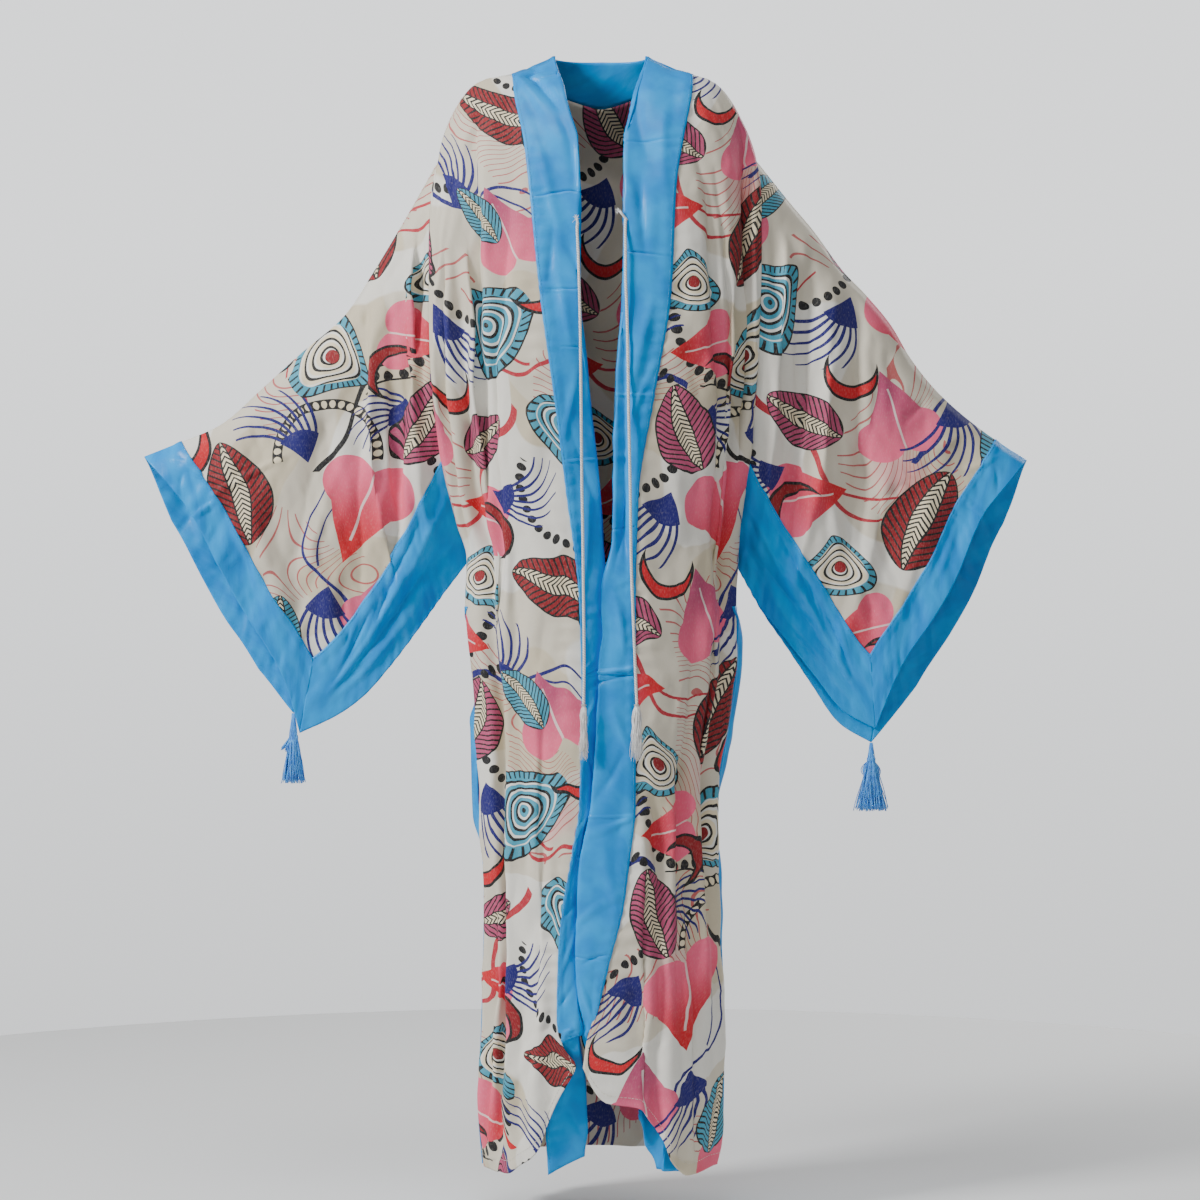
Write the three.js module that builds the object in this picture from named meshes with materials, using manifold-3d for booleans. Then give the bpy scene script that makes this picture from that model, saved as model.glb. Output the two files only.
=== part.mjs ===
import * as THREE from 'three';
import { mergeVertices } from 'three/addons/utils/BufferGeometryUtils.js';
import Module from 'manifold-3d';

// A long open robe with wide sleeves, in the hollow form that it has when it is worn.
// Sizes are in millimetres, +Z up, front towards -Y. The origin lies between the shoulders, at neck height.
// Right and left are the wearer's: the right side is at -X.

const panelCloth = 1.5;
const bandCloth = 1.5;
const seamGap = 0.3;
const bandWidth = 58;
const leastTurnedEdge = 3;
const neckTop = 11;
const neckTopRise = 3;
const neckLevel = -11;
const shoulderTip = -112;
const underarm = -584;
const slitTop = -640;
const slitOpening = 9;
const slitPucker = 30;
const hemLevel = -1295;
const hemCurveStart = -1000;
const roundness = 0.85;
const quarterGirth = 205;

const sides = [
  { name: 'right', sign: -1 },
  { name: 'left', sign: 1 },
];
const layers = [
  { name: 'front', facing: -1 },
  { name: 'back', facing: 1 },
];

// Rings of the body. right and left: half widths. edge: half depth of the armhole.
// front and back: depths on the middle line.
const bodyRings = [
  { z: 22, right: 54, left: 50, edge: 0, front: 3, back: 48 },
  { z: 11, right: 58, left: 54, edge: 0, front: 5, back: 50 },
  { z: 0, right: 80, left: 76, edge: 0, front: 14, back: 53 },
  { z: -11, right: 105, left: 104, edge: 0, front: 24, back: 57 },
  { z: -14, right: 126, left: 117, edge: 0, front: 27, back: 58 },
  { z: -20, right: 145, left: 131, edge: 0, front: 32, back: 60 },
  { z: -32, right: 159, left: 144, edge: 0, front: 43, back: 64 },
  { z: -57, right: 175, left: 160, edge: 0, front: 60, back: 76 },
  { z: -90, right: 188, left: 175, edge: 0, front: 78, back: 90 },
  { z: -112, right: 192, left: 181, edge: 0, front: 87, back: 97 },
  { z: -124, right: 194, left: 182, edge: 22, front: 91, back: 99 },
  { z: -160, right: 198, left: 184, edge: 44, front: 100, back: 104 },
  { z: -217, right: 200, left: 184, edge: 58, front: 108, back: 108 },
  { z: -335, right: 199, left: 181, edge: 62, front: 114, back: 106 },
  { z: -453, right: 189, left: 172, edge: 48, front: 110, back: 100 },
  { z: -540, right: 170, left: 161, edge: 20, front: 107, back: 98 },
  { z: -584, right: 158, left: 156, edge: 0, front: 106, back: 98 },
  { z: -640, right: 158, left: 156, edge: 0, front: 105, back: 99 },
  { z: -700, right: 153, left: 155, edge: 0, front: 104, back: 101 },
  { z: -780, right: 145, left: 144, edge: 0, front: 104, back: 103 },
  { z: -860, right: 143, left: 133, edge: 0, front: 104, back: 104 },
  { z: -980, right: 137, left: 136, edge: 0, front: 105, back: 105 },
  { z: -1128, right: 140, left: 142, edge: 0, front: 107, back: 108 },
  { z: -1225, right: 144, left: 141, edge: 0, front: 110, back: 111 },
  { z: -1295, right: 139, left: 133, edge: 0, front: 112, back: 113 },
];

// Where each front is sewn to its band, measured out from the middle line to its own side.
const openEdges = [
  { z: -11, right: 105, left: 104 },
  { z: -12, right: 104, left: 104 },
  { z: -20, right: 102, left: 104 },
  { z: -40, right: 100, left: 102 },
  { z: -99, right: 88, left: 91 },
  { z: -158, right: 81, left: 82 },
  { z: -276, right: 69, left: 76 },
  { z: -394, right: 53, left: 57 },
  { z: -512, right: 38, left: 38 },
  { z: -630, right: 24, left: 35 },
  { z: -748, right: 21, left: 35 },
  { z: -866, right: 24, left: 35 },
  { z: -925, right: 33, left: 29 },
  { z: -984, right: 43, left: 21 },
  { z: -1043, right: 48, left: 6 },
  { z: -1102, right: 49, left: -8 },
  { z: -1136, right: 46, left: -18 },
  { z: -1165, right: 26, left: -22 },
];

// The shown inner edge of each front band, and how far it stands above the sewn edge at the neck.
const bandInnerEdges = [
  { z: -11, right: 58, left: 54, rise: 22 },
  { z: -20, right: 55, left: 50, rise: 17 },
  { z: -40, right: 46, left: 41, rise: 7 },
  { z: -60, right: 40, left: 36, rise: 2 },
  { z: -99, right: 29, left: 28, rise: 0 },
  { z: -276, right: 26, left: 24, rise: 0 },
  { z: -394, right: 15, left: 16, rise: 0 },
  { z: -512, right: 3, left: 14, rise: 0 },
  { z: -630, right: -3, left: 8.5, rise: 0 },
  { z: -748, right: 2, left: 3.5, rise: 0 },
  { z: -866, right: 9, left: -3.5, rise: 0 },
  { z: -925, right: 21, left: -15.5, rise: 0 },
  { z: -984, right: 25, left: -19.5, rise: 0 },
  { z: -1102, right: 28, left: -23, rise: 0 },
  { z: -1136, right: 28, left: -23, rise: 0 },
];

// The lower ends of the front bands, which pass behind the turned-up corners of the fronts.
const bandTails = {
  right: [
    { z: -1131, outer: 46, inner: 28, inset: 5 },
    { z: -1160, outer: 54, inner: 24, inset: 10 },
    { z: -1195, outer: 63, inner: 20, inset: 11 },
    { z: -1245, outer: 67, inner: 19, inset: 11 },
    { z: -1290, outer: 66, inner: 22, inset: 11 },
  ],
  left: [
    { z: -1131, outer: -17.5, inner: -23, inset: 5 },
    { z: -1150, outer: 12, inner: -16, inset: 10 },
    { z: -1180, outer: 52, inner: 8, inset: 11 },
    { z: -1215, outer: 88, inner: 44, inset: 11 },
    { z: -1245, outer: 98, inner: 60, inset: 12 },
    { z: -1290, outer: 96, inner: 63, inset: 12 },
  ],
};

// Lower edge of each front, from the opening out to the side: the corners are drawn up and turned in.
const frontHems = {
  right: [
    { out: 26, z: -1158 },
    { out: 35, z: -1176 },
    { out: 50, z: -1202 },
    { out: 62, z: -1230 },
    { out: 73, z: -1258 },
    { out: 91, z: -1277 },
    { out: 118, z: -1292 },
    { out: 144, z: -1290 },
  ],
  left: [
    { out: -22, z: -1165 },
    { out: -10, z: -1190 },
    { out: 4, z: -1205 },
    { out: 44, z: -1212 },
    { out: 57, z: -1230 },
    { out: 71, z: -1248 },
    { out: 84, z: -1275 },
    { out: 104, z: -1293 },
    { out: 138, z: -1288 },
  ],
};

// Upper edge of the back panel, from the shoulder (0) to the middle of the back (1).
const backNeckline = [
  { turn: 0, z: -11 },
  { turn: 0.3, z: -9 },
  { turn: 0.55, z: -12 },
  { turn: 0.75, z: -21 },
  { turn: 1, z: -40 },
];

// How far the front edge of each slit is tucked inside the back, from 0 to 1.
const slitTucks = [
  { z: -640, right: 0, left: 0 },
  { z: -670, right: 0, left: 0 },
  { z: -700, right: 1, left: 0 },
  { z: -755, right: 1, left: 0 },
  { z: -795, right: 0, left: 0 },
  { z: -845, right: 0, left: 0 },
  { z: -895, right: 0, left: 1 },
  { z: -925, right: 0.2, left: 1 },
  { z: -970, right: 1, left: 1 },
  { z: -1295, right: 1, left: 1 },
];
const fullTuck = 0.22;

// Folds that run down the body. around: distance round from the side edge. depth: outwards if above zero.
const bodyFolds = {
  rightFront: [
    { around: 34, depth: 5, width: 12, top: -330, bottom: -1250, drift: 6 },
    { around: 76, depth: -15, width: 10, top: -210, bottom: -1190, drift: 3 },
    { around: 93, depth: 6, width: 9, top: -200, bottom: -1180, drift: 3 },
    { around: 122, depth: -4, width: 12, top: -560, bottom: -1290, drift: -6 },
    { around: 144, depth: 4, width: 10, top: -700, bottom: -1200, drift: -3 },
  ],
  leftFront: [
    { around: 30, depth: 4, width: 12, top: -420, bottom: -1290, drift: 10 },
    { around: 62, depth: -12, width: 10, top: -240, bottom: -900, drift: -4 },
    { around: 80, depth: 6, width: 10, top: -240, bottom: -1000, drift: -4 },
    { around: 112, depth: -5, width: 12, top: -620, bottom: -1290, drift: 6 },
    { around: 148, depth: -9, width: 9, top: -830, bottom: -1290, drift: 4 },
    { around: 166, depth: 6, width: 9, top: -850, bottom: -1290, drift: 4 },
  ],
  rightBack: [
    { around: 38, depth: 6, width: 13, top: -260, bottom: -1290, drift: 8 },
    { around: 78, depth: -11, width: 12, top: -180, bottom: -1290, drift: 4 },
    { around: 104, depth: 7, width: 13, top: -220, bottom: -1290, drift: -3 },
    { around: 150, depth: -8, width: 14, top: -150, bottom: -1180, drift: -6 },
    { around: 182, depth: 5, width: 12, top: -420, bottom: -1290, drift: -3 },
  ],
  leftBack: [
    { around: 30, depth: 5, width: 12, top: -300, bottom: -1290, drift: 4 },
    { around: 88, depth: 8, width: 13, top: -210, bottom: -1290, drift: 5 },
    { around: 118, depth: -10, width: 12, top: -170, bottom: -1200, drift: 3 },
    { around: 150, depth: 5, width: 13, top: -380, bottom: -1290, drift: -5 },
    { around: 180, depth: -7, width: 13, top: -160, bottom: -1290, drift: -4 },
  ],
};
const foldFade = 90;
const edgeFade = 26;

// Outlines of each sleeve, out from the middle line. The overarm and the lower edge run out to the cuff,
// and the cuff runs down. cuffReach and lowerReach: how far the back layer passes the front one.
const sleeveShapes = {
  right: {
    overarm: [
      { out: 192, z: -112 },
      { out: 229, z: -177 },
      { out: 271, z: -247 },
      { out: 303, z: -295 },
      { out: 356, z: -341 },
      { out: 400, z: -381 },
      { out: 451, z: -425 },
      { out: 500, z: -446 },
      { out: 540, z: -462 },
    ],
    cuff: [
      { out: 540, z: -462 },
      { out: 513, z: -503 },
      { out: 487, z: -545 },
      { out: 457, z: -602 },
      { out: 433, z: -645 },
      { out: 406, z: -685 },
      { out: 379, z: -733 },
      { out: 357, z: -787 },
    ],
    lower: [
      { out: 158, z: -584 },
      { out: 183, z: -617 },
      { out: 210, z: -655 },
      { out: 235, z: -689 },
      { out: 254, z: -713 },
      { out: 281, z: -743 },
      { out: 311, z: -765 },
      { out: 357, z: -787 },
    ],
    cuffReach: 17,
    lowerReach: -25,
  },
  left: {
    overarm: [
      { out: 181, z: -112 },
      { out: 221, z: -162 },
      { out: 248, z: -194 },
      { out: 284, z: -243 },
      { out: 310, z: -270 },
      { out: 340, z: -306 },
      { out: 363, z: -345 },
      { out: 395, z: -385 },
      { out: 447, z: -430 },
      { out: 501, z: -466 },
    ],
    cuff: [
      { out: 501, z: -466 },
      { out: 480, z: -502 },
      { out: 452, z: -548 },
      { out: 426, z: -610 },
      { out: 398, z: -658 },
      { out: 366, z: -704 },
      { out: 342, z: -746 },
      { out: 323, z: -782 },
    ],
    lower: [
      { out: 156, z: -584 },
      { out: 188, z: -640 },
      { out: 221, z: -682 },
      { out: 252, z: -721 },
      { out: 284, z: -760 },
      { out: 323, z: -782 },
    ],
    cuffReach: 18,
    lowerReach: 17,
  },
};

// Half depth of the sleeve at the cuff, from the overarm (0) to the lower edge (1).
const cuffDepths = [
  { down: 0, deep: 0 },
  { down: 0.03, deep: 14 },
  { down: 0.08, deep: 21 },
  { down: 0.2, deep: 25 },
  { down: 0.5, deep: 17 },
  { down: 0.8, deep: 8 },
  { down: 1, deep: 0 },
];

// Drape folds of the sleeves. along: from the armhole (0) to the cuff (1), drifting as the fold runs down.
const sleeveFolds = [
  { along: 0.1, depth: 7, width: 0.03, from: 0.05, to: 0.95, drift: 0.05 },
  { along: 0.21, depth: -5, width: 0.028, from: 0.08, to: 0.8, drift: 0.06 },
  { along: 0.32, depth: 7, width: 0.035, from: 0.1, to: 1, drift: 0.09 },
  { along: 0.5, depth: -5, width: 0.035, from: 0.1, to: 0.75, drift: 0.08 },
  { along: 0.62, depth: 5, width: 0.04, from: 0.15, to: 1, drift: 0.1 },
  { along: 0.8, depth: 4, width: 0.035, from: 0.1, to: 0.85, drift: 0.06 },
];

// Share of the sleeve that is printed cloth; the bands take the rest.
const cuffSeam = { atOverarm: 0.914, atLower: 0.83 };
const lowerSeam = { atArmhole: 0.76, atCuff: 0.82 };

const clothLook = { color: '#c9c1b6', roughness: 0.72, metalness: 0 };
const bandLook = { color: '#4f9fca', roughness: 0.46, metalness: 0 };
const cordLook = { color: '#e6e3dc', roughness: 0.85, metalness: 0 };
const tasselLook = { color: '#4a86b8', roughness: 0.7, metalness: 0 };

const mix = (from, to, share) => from + (to - from) * share;
const clampShare = (value) => Math.min(1, Math.max(0, value));

function ramp(value, from, to) {
  const share = clampShare((value - from) / (to - from));
  return share * share * (3 - 2 * share);
}

const rounded = (value) => Math.sign(value) * Math.abs(value) ** roundness;

function steepness(rows, key, column, index) {
  const lower = Math.max(index - 1, 0);
  const upper = Math.min(index + 1, rows.length - 1);
  const rise = (a, b) => (rows[b][column] - rows[a][column]) / (rows[b][key] - rows[a][key]);
  if (lower === index || upper === index) return rise(lower, upper);
  const before = rise(lower, index);
  const after = rise(index, upper);
  return before * after <= 0 ? 0 : (2 * before * after) / (before + after);
}

// Reads a column of a table at any place between its rows, as a smooth curve that never overshoots.
function readTable(rows, key, place, column) {
  const falling = rows[0][key] > rows[rows.length - 1][key];
  const passed = (row) => (falling ? place < row[key] : place > row[key]);
  let index = 0;
  while (index < rows.length - 2 && passed(rows[index + 1])) index += 1;
  const start = rows[index];
  const end = rows[index + 1];
  const span = end[key] - start[key];
  const t = clampShare((place - start[key]) / span);
  const startSlope = steepness(rows, key, column, index) * span;
  const endSlope = steepness(rows, key, column, index + 1) * span;
  const bend = t * (1 - t);
  const straight = mix(start[column], end[column], t * t * (3 - 2 * t));
  return straight + bend * ((1 - t) * startSlope - t * endSlope);
}

// Adds to each row how far along the outline it lies, from 0 to 1.
function measured(rows) {
  let length = 0;
  const lengths = rows.map((row, index) => {
    const previous = rows[Math.max(index - 1, 0)];
    length += Math.hypot(row.out - previous.out, row.z - previous.z);
    return length;
  });
  return rows.map((row, index) => ({ ...row, along: lengths[index] / length }));
}

function outlines(shape) {
  const { overarm, cuff, lower } = shape;
  return { ...shape, overarm: measured(overarm), cuff: measured(cuff), lower: measured(lower) };
}
const sleeveOutlines = { right: outlines(sleeveShapes.right), left: outlines(sleeveShapes.left) };

const sideOf = (sign) => (sign < 0 ? 'right' : 'left');
const halfWidthAt = (sign, z) => readTable(bodyRings, 'z', z, sideOf(sign));
const edgeDepthAt = (z) => readTable(bodyRings, 'z', z, 'edge');

function bodyFoldAt(sign, facing, turn, z) {
  const folds = bodyFolds[sideOf(sign) + (facing < 0 ? 'Front' : 'Back')];
  const around = turn * quarterGirth;
  let push = 0;
  for (const fold of folds) {
    const run = clampShare((fold.top - z) / (fold.top - fold.bottom));
    const middle = fold.around + fold.drift * run;
    const fade = ramp(z, fold.top, fold.top - foldFade) * ramp(z, fold.bottom - foldFade, fold.bottom);
    push += fold.depth * fade * Math.exp(-(((around - middle) / fold.width) ** 2));
  }
  return push * ramp(around, 0, edgeFade);
}

// A point on the body. turn: 0 at the side edge, 1 on the middle line.
function bodyPoint(sign, facing, turn, z) {
  const slit = facing > 0 ? slitOpening * ramp(z, slitTop, slitTop - slitPucker) : 0;
  const halfWidth = halfWidthAt(sign, z) + slit;
  const edge = edgeDepthAt(z);
  const depth = readTable(bodyRings, 'z', z, facing < 0 ? 'front' : 'back');
  const angle = (turn * Math.PI) / 2;
  const x = sign * halfWidth * rounded(Math.cos(angle));
  const deep = rounded(Math.sin(angle));
  const reach = Math.hypot(edge * Math.sqrt(1 - deep ** 2), depth * deep);
  const y = facing * (seamGap / 2 + Math.sign(deep || 1) * reach);
  const away = new THREE.Vector2(x / halfWidth ** 2, y / depth ** 2).normalize();
  away.multiplyScalar(bodyFoldAt(sign, facing, turn, z));
  return new THREE.Vector3(x + away.x, y + away.y, z);
}

function turnAt(sign, out, z) {
  const share = out / halfWidthAt(sign, z);
  const cosine = Math.sign(share) * Math.abs(share) ** (1 / roundness);
  return (Math.acos(THREE.MathUtils.clamp(cosine, -1, 1)) * 2) / Math.PI;
}

// The direction out of a surface at (a, b), from the slopes of its point function.
function outOf(pointAt, a, b, stepA, stepB, sense) {
  const alongA = pointAt(a + stepA, b).sub(pointAt(a - stepA, b));
  const alongB = pointAt(a, b + stepB).sub(pointAt(a, b - stepB));
  return alongA.cross(alongB).normalize().multiplyScalar(sense);
}

const turnStep = 0.004;
const levelStep = 1.5;
const shareStep = 0.003;

function bodyOut(sign, facing, turn, z) {
  const pointAt = (a, b) => bodyPoint(sign, facing, a, b);
  return outOf(pointAt, turn, z, turnStep, levelStep, sign * facing);
}

const armholeLevel = (down) => mix(shoulderTip, underarm, down);

function sleeveFoldAt(along, down) {
  let push = 0;
  for (const fold of sleeveFolds) {
    const middle = fold.along + fold.drift * down;
    const fade = ramp(down, fold.from, fold.from + 0.18) * ramp(down, fold.to, fold.to - 0.18);
    push += fold.depth * fade * Math.exp(-(((along - middle) / fold.width) ** 2));
  }
  return push * ramp(along, 0, 0.08);
}

// A point on a sleeve. along: 0 at the armhole, 1 at the cuff. down: 0 at the overarm, 1 at the lower edge.
function sleevePoint(sign, facing, along, down) {
  const shape = sleeveOutlines[sideOf(sign)];
  const armhole = (share) => ({ out: halfWidthAt(sign, armholeLevel(share)), z: armholeLevel(share) });
  const read = (rows, place, column) => readTable(rows, 'along', place, column);
  const top = armhole(0);
  const bottom = armhole(1);
  const near = armhole(clampShare(down));
  const farTop = shape.cuff[0];
  const farBottom = shape.cuff[shape.cuff.length - 1];
  const blend = (column) => {
    const acrossRuns = mix(read(shape.overarm, along, column), read(shape.lower, along, column), down);
    const downRuns = mix(near[column], read(shape.cuff, down, column), along);
    const topRun = mix(top[column], farTop[column], along);
    const corners = mix(topRun, mix(bottom[column], farBottom[column], along), down);
    return acrossRuns + downRuns - corners;
  };
  let out = blend('out');
  let z = blend('z');
  if (facing > 0) {
    const past = shape.cuffReach * along ** 4 * clampShare(6 * down * (1 - down));
    const lower = shape.lowerReach * ramp(along, 0.1, 1) * down ** 3;
    out += 0.87 * past - 0.3 * lower;
    z -= 0.49 * past + 0.95 * lower;
  }
  const cuffDeep = readTable(cuffDepths, 'down', down, 'deep');
  const deep = mix(edgeDepthAt(armholeLevel(down)), cuffDeep, ramp(along, -0.1, 0.9));
  const fold = sleeveFoldAt(along, down) * clampShare(deep / 20);
  return new THREE.Vector3(sign * out, facing * (seamGap / 2 + Math.max(0, deep + fold)), z);
}

function sleeveOut(sign, facing, along, down) {
  const pointAt = (a, b) => sleevePoint(sign, facing, a, b);
  const a = THREE.MathUtils.clamp(along, shareStep, 1 - shareStep);
  const b = THREE.MathUtils.clamp(down, shareStep, 1 - shareStep);
  return outOf(pointAt, a, b, shareStep, shareStep, sign * facing);
}

// At the armhole the walls of the body and the sleeve share one mitre, so that they meet edge to edge.
function armholeOut(sign, facing, down) {
  const bodySide = bodyOut(sign, facing, 0.01, armholeLevel(down));
  const mitre = bodySide.clone().add(sleeveOut(sign, facing, 0, down)).normalize();
  return mitre.divideScalar(Math.max(mitre.dot(bodySide), 0.6));
}

// Pulls the border of a grid of points in by half the seam gap, along the grid's own lines.
function trimBorder(points, columns, rows) {
  const at = (column, row) => points[row * columns + column];
  const pull = (point, towards) => {
    const step = towards.clone().sub(point);
    point.addScaledVector(step.normalize(), seamGap / 2);
  };
  for (let row = 0; row < rows; row += 1) {
    pull(at(0, row), at(1, row));
    pull(at(columns - 1, row), at(columns - 2, row));
  }
  for (let column = 0; column < columns; column += 1) {
    pull(at(column, 0), at(column, 1));
    pull(at(column, rows - 1), at(column, rows - 2));
  }
}

function signedVolume(positions, faces) {
  const corner = (index) => new THREE.Vector3().fromArray(positions, index * 3);
  let volume = 0;
  for (let face = 0; face < faces.length; face += 3) {
    const normal = corner(faces[face + 1]).cross(corner(faces[face + 2]));
    volume += corner(faces[face]).dot(normal) / 6;
  }
  return volume;
}

function solidGeometry(positions, faces) {
  const inwards = signedVolume(positions, faces) < 0;
  const geometry = new THREE.BufferGeometry();
  geometry.setAttribute('position', new THREE.Float32BufferAttribute(positions, 3));
  geometry.setIndex(inwards ? faces.slice().reverse() : faces);
  geometry.computeVertexNormals();
  return geometry;
}

// A wall of cloth on a grid. spotAt(a, b) gives the inner point and the direction out of the cloth.
function clothWall(spotAt, acrossPlaces, downPlaces, thickness, lift = 0) {
  const columns = acrossPlaces.length;
  const rows = downPlaces.length;
  const spots = downPlaces.flatMap((b) => acrossPlaces.map((a) => spotAt(a, b)));
  const inner = spots.map((spot) => spot.point.clone().addScaledVector(spot.out, lift));
  const outer = spots.map((spot) => spot.point.clone().addScaledVector(spot.out, lift + thickness));
  trimBorder(inner, columns, rows);
  trimBorder(outer, columns, rows);
  const positions = [...inner, ...outer].flatMap((point) => point.toArray());
  const layer = columns * rows;
  const faces = [];
  const quad = (a, b, c, d) => faces.push(a, b, c, a, c, d);
  const inside = (column, row) => row * columns + column;
  const outside = (column, row) => layer + inside(column, row);
  for (let row = 0; row < rows - 1; row += 1) {
    for (let column = 0; column < columns - 1; column += 1) {
      const next = column + 1;
      quad(outside(column, row), outside(next, row), outside(next, row + 1), outside(column, row + 1));
      quad(inside(column, row), inside(column, row + 1), inside(next, row + 1), inside(next, row));
    }
  }
  for (let row = 0; row < rows - 1; row += 1) {
    quad(outside(0, row), outside(0, row + 1), inside(0, row + 1), inside(0, row));
    const end = columns - 1;
    quad(outside(end, row), inside(end, row), inside(end, row + 1), outside(end, row + 1));
  }
  for (let column = 0; column < columns - 1; column += 1) {
    quad(outside(column, 0), inside(column, 0), inside(column + 1, 0), outside(column + 1, 0));
    const end = rows - 1;
    quad(outside(column, end), outside(column + 1, end), inside(column + 1, end), inside(column, end));
  }
  return solidGeometry(positions, faces);
}

const robe = new THREE.Group();

function addPiece(name, geometry, look) {
  const mesh = new THREE.Mesh(geometry, new THREE.MeshStandardMaterial(look));
  mesh.name = name;
  robe.add(mesh);
}

const backColumns = 24;
const frontColumns = 14;
const slitBandColumns = 3;
const evenly = (count) => Array.from({ length: count + 1 }, (_, index) => index / count);

// Levels shared by every piece that meets at the shoulder, the armhole and the side.
const sleeveDownSteps = [0, 0.025, 0.08, 0.17, 0.29, 0.43, 0.57, 0.71, 0.86, 1];
const bandSteps = [0, 0.5, 1];
const ridgeLevels = [-11, -13, -16, -22, -32, -48, -68, -90, shoulderTip];
const armholeLevels = [
  ...sleeveDownSteps.slice(1).map((step) => armholeLevel(step * lowerSeam.atArmhole)),
  ...bandSteps.slice(1).map((step) => armholeLevel(mix(lowerSeam.atArmhole, 1, step))),
];
const upperSlitLevels = [-670, -700, -755, -795, -845, -895, -930, -970];
const slitLevels = [...upperSlitLevels, -1020, -1075, -1130, -1185, -1240, hemLevel];
const bodyLevels = [...ridgeLevels, ...armholeLevels, slitTop, ...slitLevels];

const downArmhole = (z) => (shoulderTip - z) / (shoulderTip - underarm);
const onArmhole = (turn, z) => turn === 0 && z < shoulderTip + 1 && z > underarm - 1;

function bodySpot(sign, facing, turn, z) {
  const point = bodyPoint(sign, facing, turn, z);
  if (!onArmhole(turn, z)) return { point, out: bodyOut(sign, facing, turn, z) };
  return { point, out: armholeOut(sign, facing, clampShare(downArmhole(z))) };
}

const tuckTurn = (sign, z) => -fullTuck * readTable(slitTucks, 'z', z, sideOf(sign));
const openEdgeTurn = (sign, z) => turnAt(sign, readTable(openEdges, 'z', z, sideOf(sign)), z);

// The level of a front at share a across it, with the lower edge drawn up towards the opening.
function frontLevel(sign, a, level) {
  if (level > hemCurveStart) return level;
  const hemPlace = -1200;
  const turn = mix(tuckTurn(sign, hemPlace), openEdgeTurn(sign, hemPlace), a);
  const out = sign * bodyPoint(sign, -1, turn, hemPlace).x;
  const hem = readTable(frontHems[sideOf(sign)], 'out', out, 'z');
  return mix(hemCurveStart, hem, (level - hemCurveStart) / (hemLevel - hemCurveStart));
}

function frontSpot(sign, a, level) {
  const z = frontLevel(sign, a, level);
  return bodySpot(sign, -1, mix(tuckTurn(sign, z), openEdgeTurn(sign, z), a), z);
}

function backSpot(across, level) {
  const sign = across < 0.5 ? -1 : 1;
  const turn = 1 - Math.abs(2 * across - 1);
  const joinLevel = -160;
  const top = readTable(backNeckline, 'turn', turn, 'z');
  const fallen = (level - neckLevel) / (joinLevel - neckLevel);
  const z = level > joinLevel ? mix(top, joinLevel, fallen) : level;
  return bodySpot(sign, 1, turn, z);
}

// The front band: the shown part lies on the body, and the rest of its width is turned in at the opening.
const foldShare = 0.6;
const bandAcross = [0, 0.3, foldShare, 0.75, 1];
const bandStep = 0.02;
const tailStart = -1125;

function bandPlaces(sign, level) {
  const side = sideOf(sign);
  const tail = bandTails[side];
  if (level < tailStart) {
    const read = (column) => readTable(tail, 'z', level, column);
    return { outer: read('outer'), inner: read('inner'), rise: 0, inset: read('inset') };
  }
  const inner = readTable(bandInnerEdges, 'z', level, side);
  const rise = readTable(bandInnerEdges, 'z', level, 'rise');
  return { outer: readTable(openEdges, 'z', level, side), inner, rise, inset: 0 };
}

// The place on the body under share m across a band.
function underBand(sign, m, level) {
  const places = bandPlaces(sign, level);
  const shown = clampShare(m / foldShare);
  const outerTurn = turnAt(sign, places.outer, level);
  const innerTurn = turnAt(sign, places.inner, level + places.rise);
  return { places, turn: mix(outerTurn, innerTurn, shown), z: level + places.rise * shown };
}

function bandPoint(sign, m, level) {
  const { places, turn, z } = underBand(sign, m, level);
  const point = bodyPoint(sign, -1, turn, z);
  const inwards = bodyOut(sign, -1, turn, z).negate();
  point.addScaledVector(inwards, places.inset);
  const turning = ramp(level, -60, -200);
  const unshown = (bandWidth - Math.abs(places.outer - places.inner)) * turning;
  const hidden = Math.max(leastTurnedEdge, unshown);
  const turnedIn = Math.max(0, (m - foldShare) / (1 - foldShare)) * hidden;
  return point.addScaledVector(inwards.lerp(new THREE.Vector3(0, 1, 0), turning), turnedIn);
}

function bandSpot(sign, m, level) {
  const point = bandPoint(sign, m, level);
  const besideFold = foldShare - 0.05;
  if (m < besideFold && level > tailStart) {
    const { turn, z } = underBand(sign, m, level);
    return { point, out: bodyOut(sign, -1, turn, z) };
  }
  const pointAt = (a, b) => bandPoint(sign, clampShare(a), b);
  const offTheRim = Math.max(m, 0.01);
  return { point, out: outOf(pointAt, offTheRim, level, bandStep, levelStep, -sign) };
}

function neckBandSpot(across, up) {
  const sign = across < 0.5 ? -1 : 1;
  const turn = 1 - Math.abs(2 * across - 1);
  const sewn = readTable(backNeckline, 'turn', turn, 'z');
  const z = mix(sewn, neckTop + neckTopRise * turn, up);
  return bodySpot(sign, 1, turn, z);
}

// The fronts start a little below the neck point, where they have some width.
const frontLevels = [-12, ...bodyLevels.slice(1)];

function buildBody() {
  addPiece('back_panel', clothWall(backSpot, evenly(backColumns), bodyLevels, panelCloth), clothLook);
  for (const { name, sign } of sides) {
    const spotAt = (a, level) => frontSpot(sign, a, level);
    addPiece(`front_${name}`, clothWall(spotAt, evenly(frontColumns), frontLevels, panelCloth), clothLook);
  }
}

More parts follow.
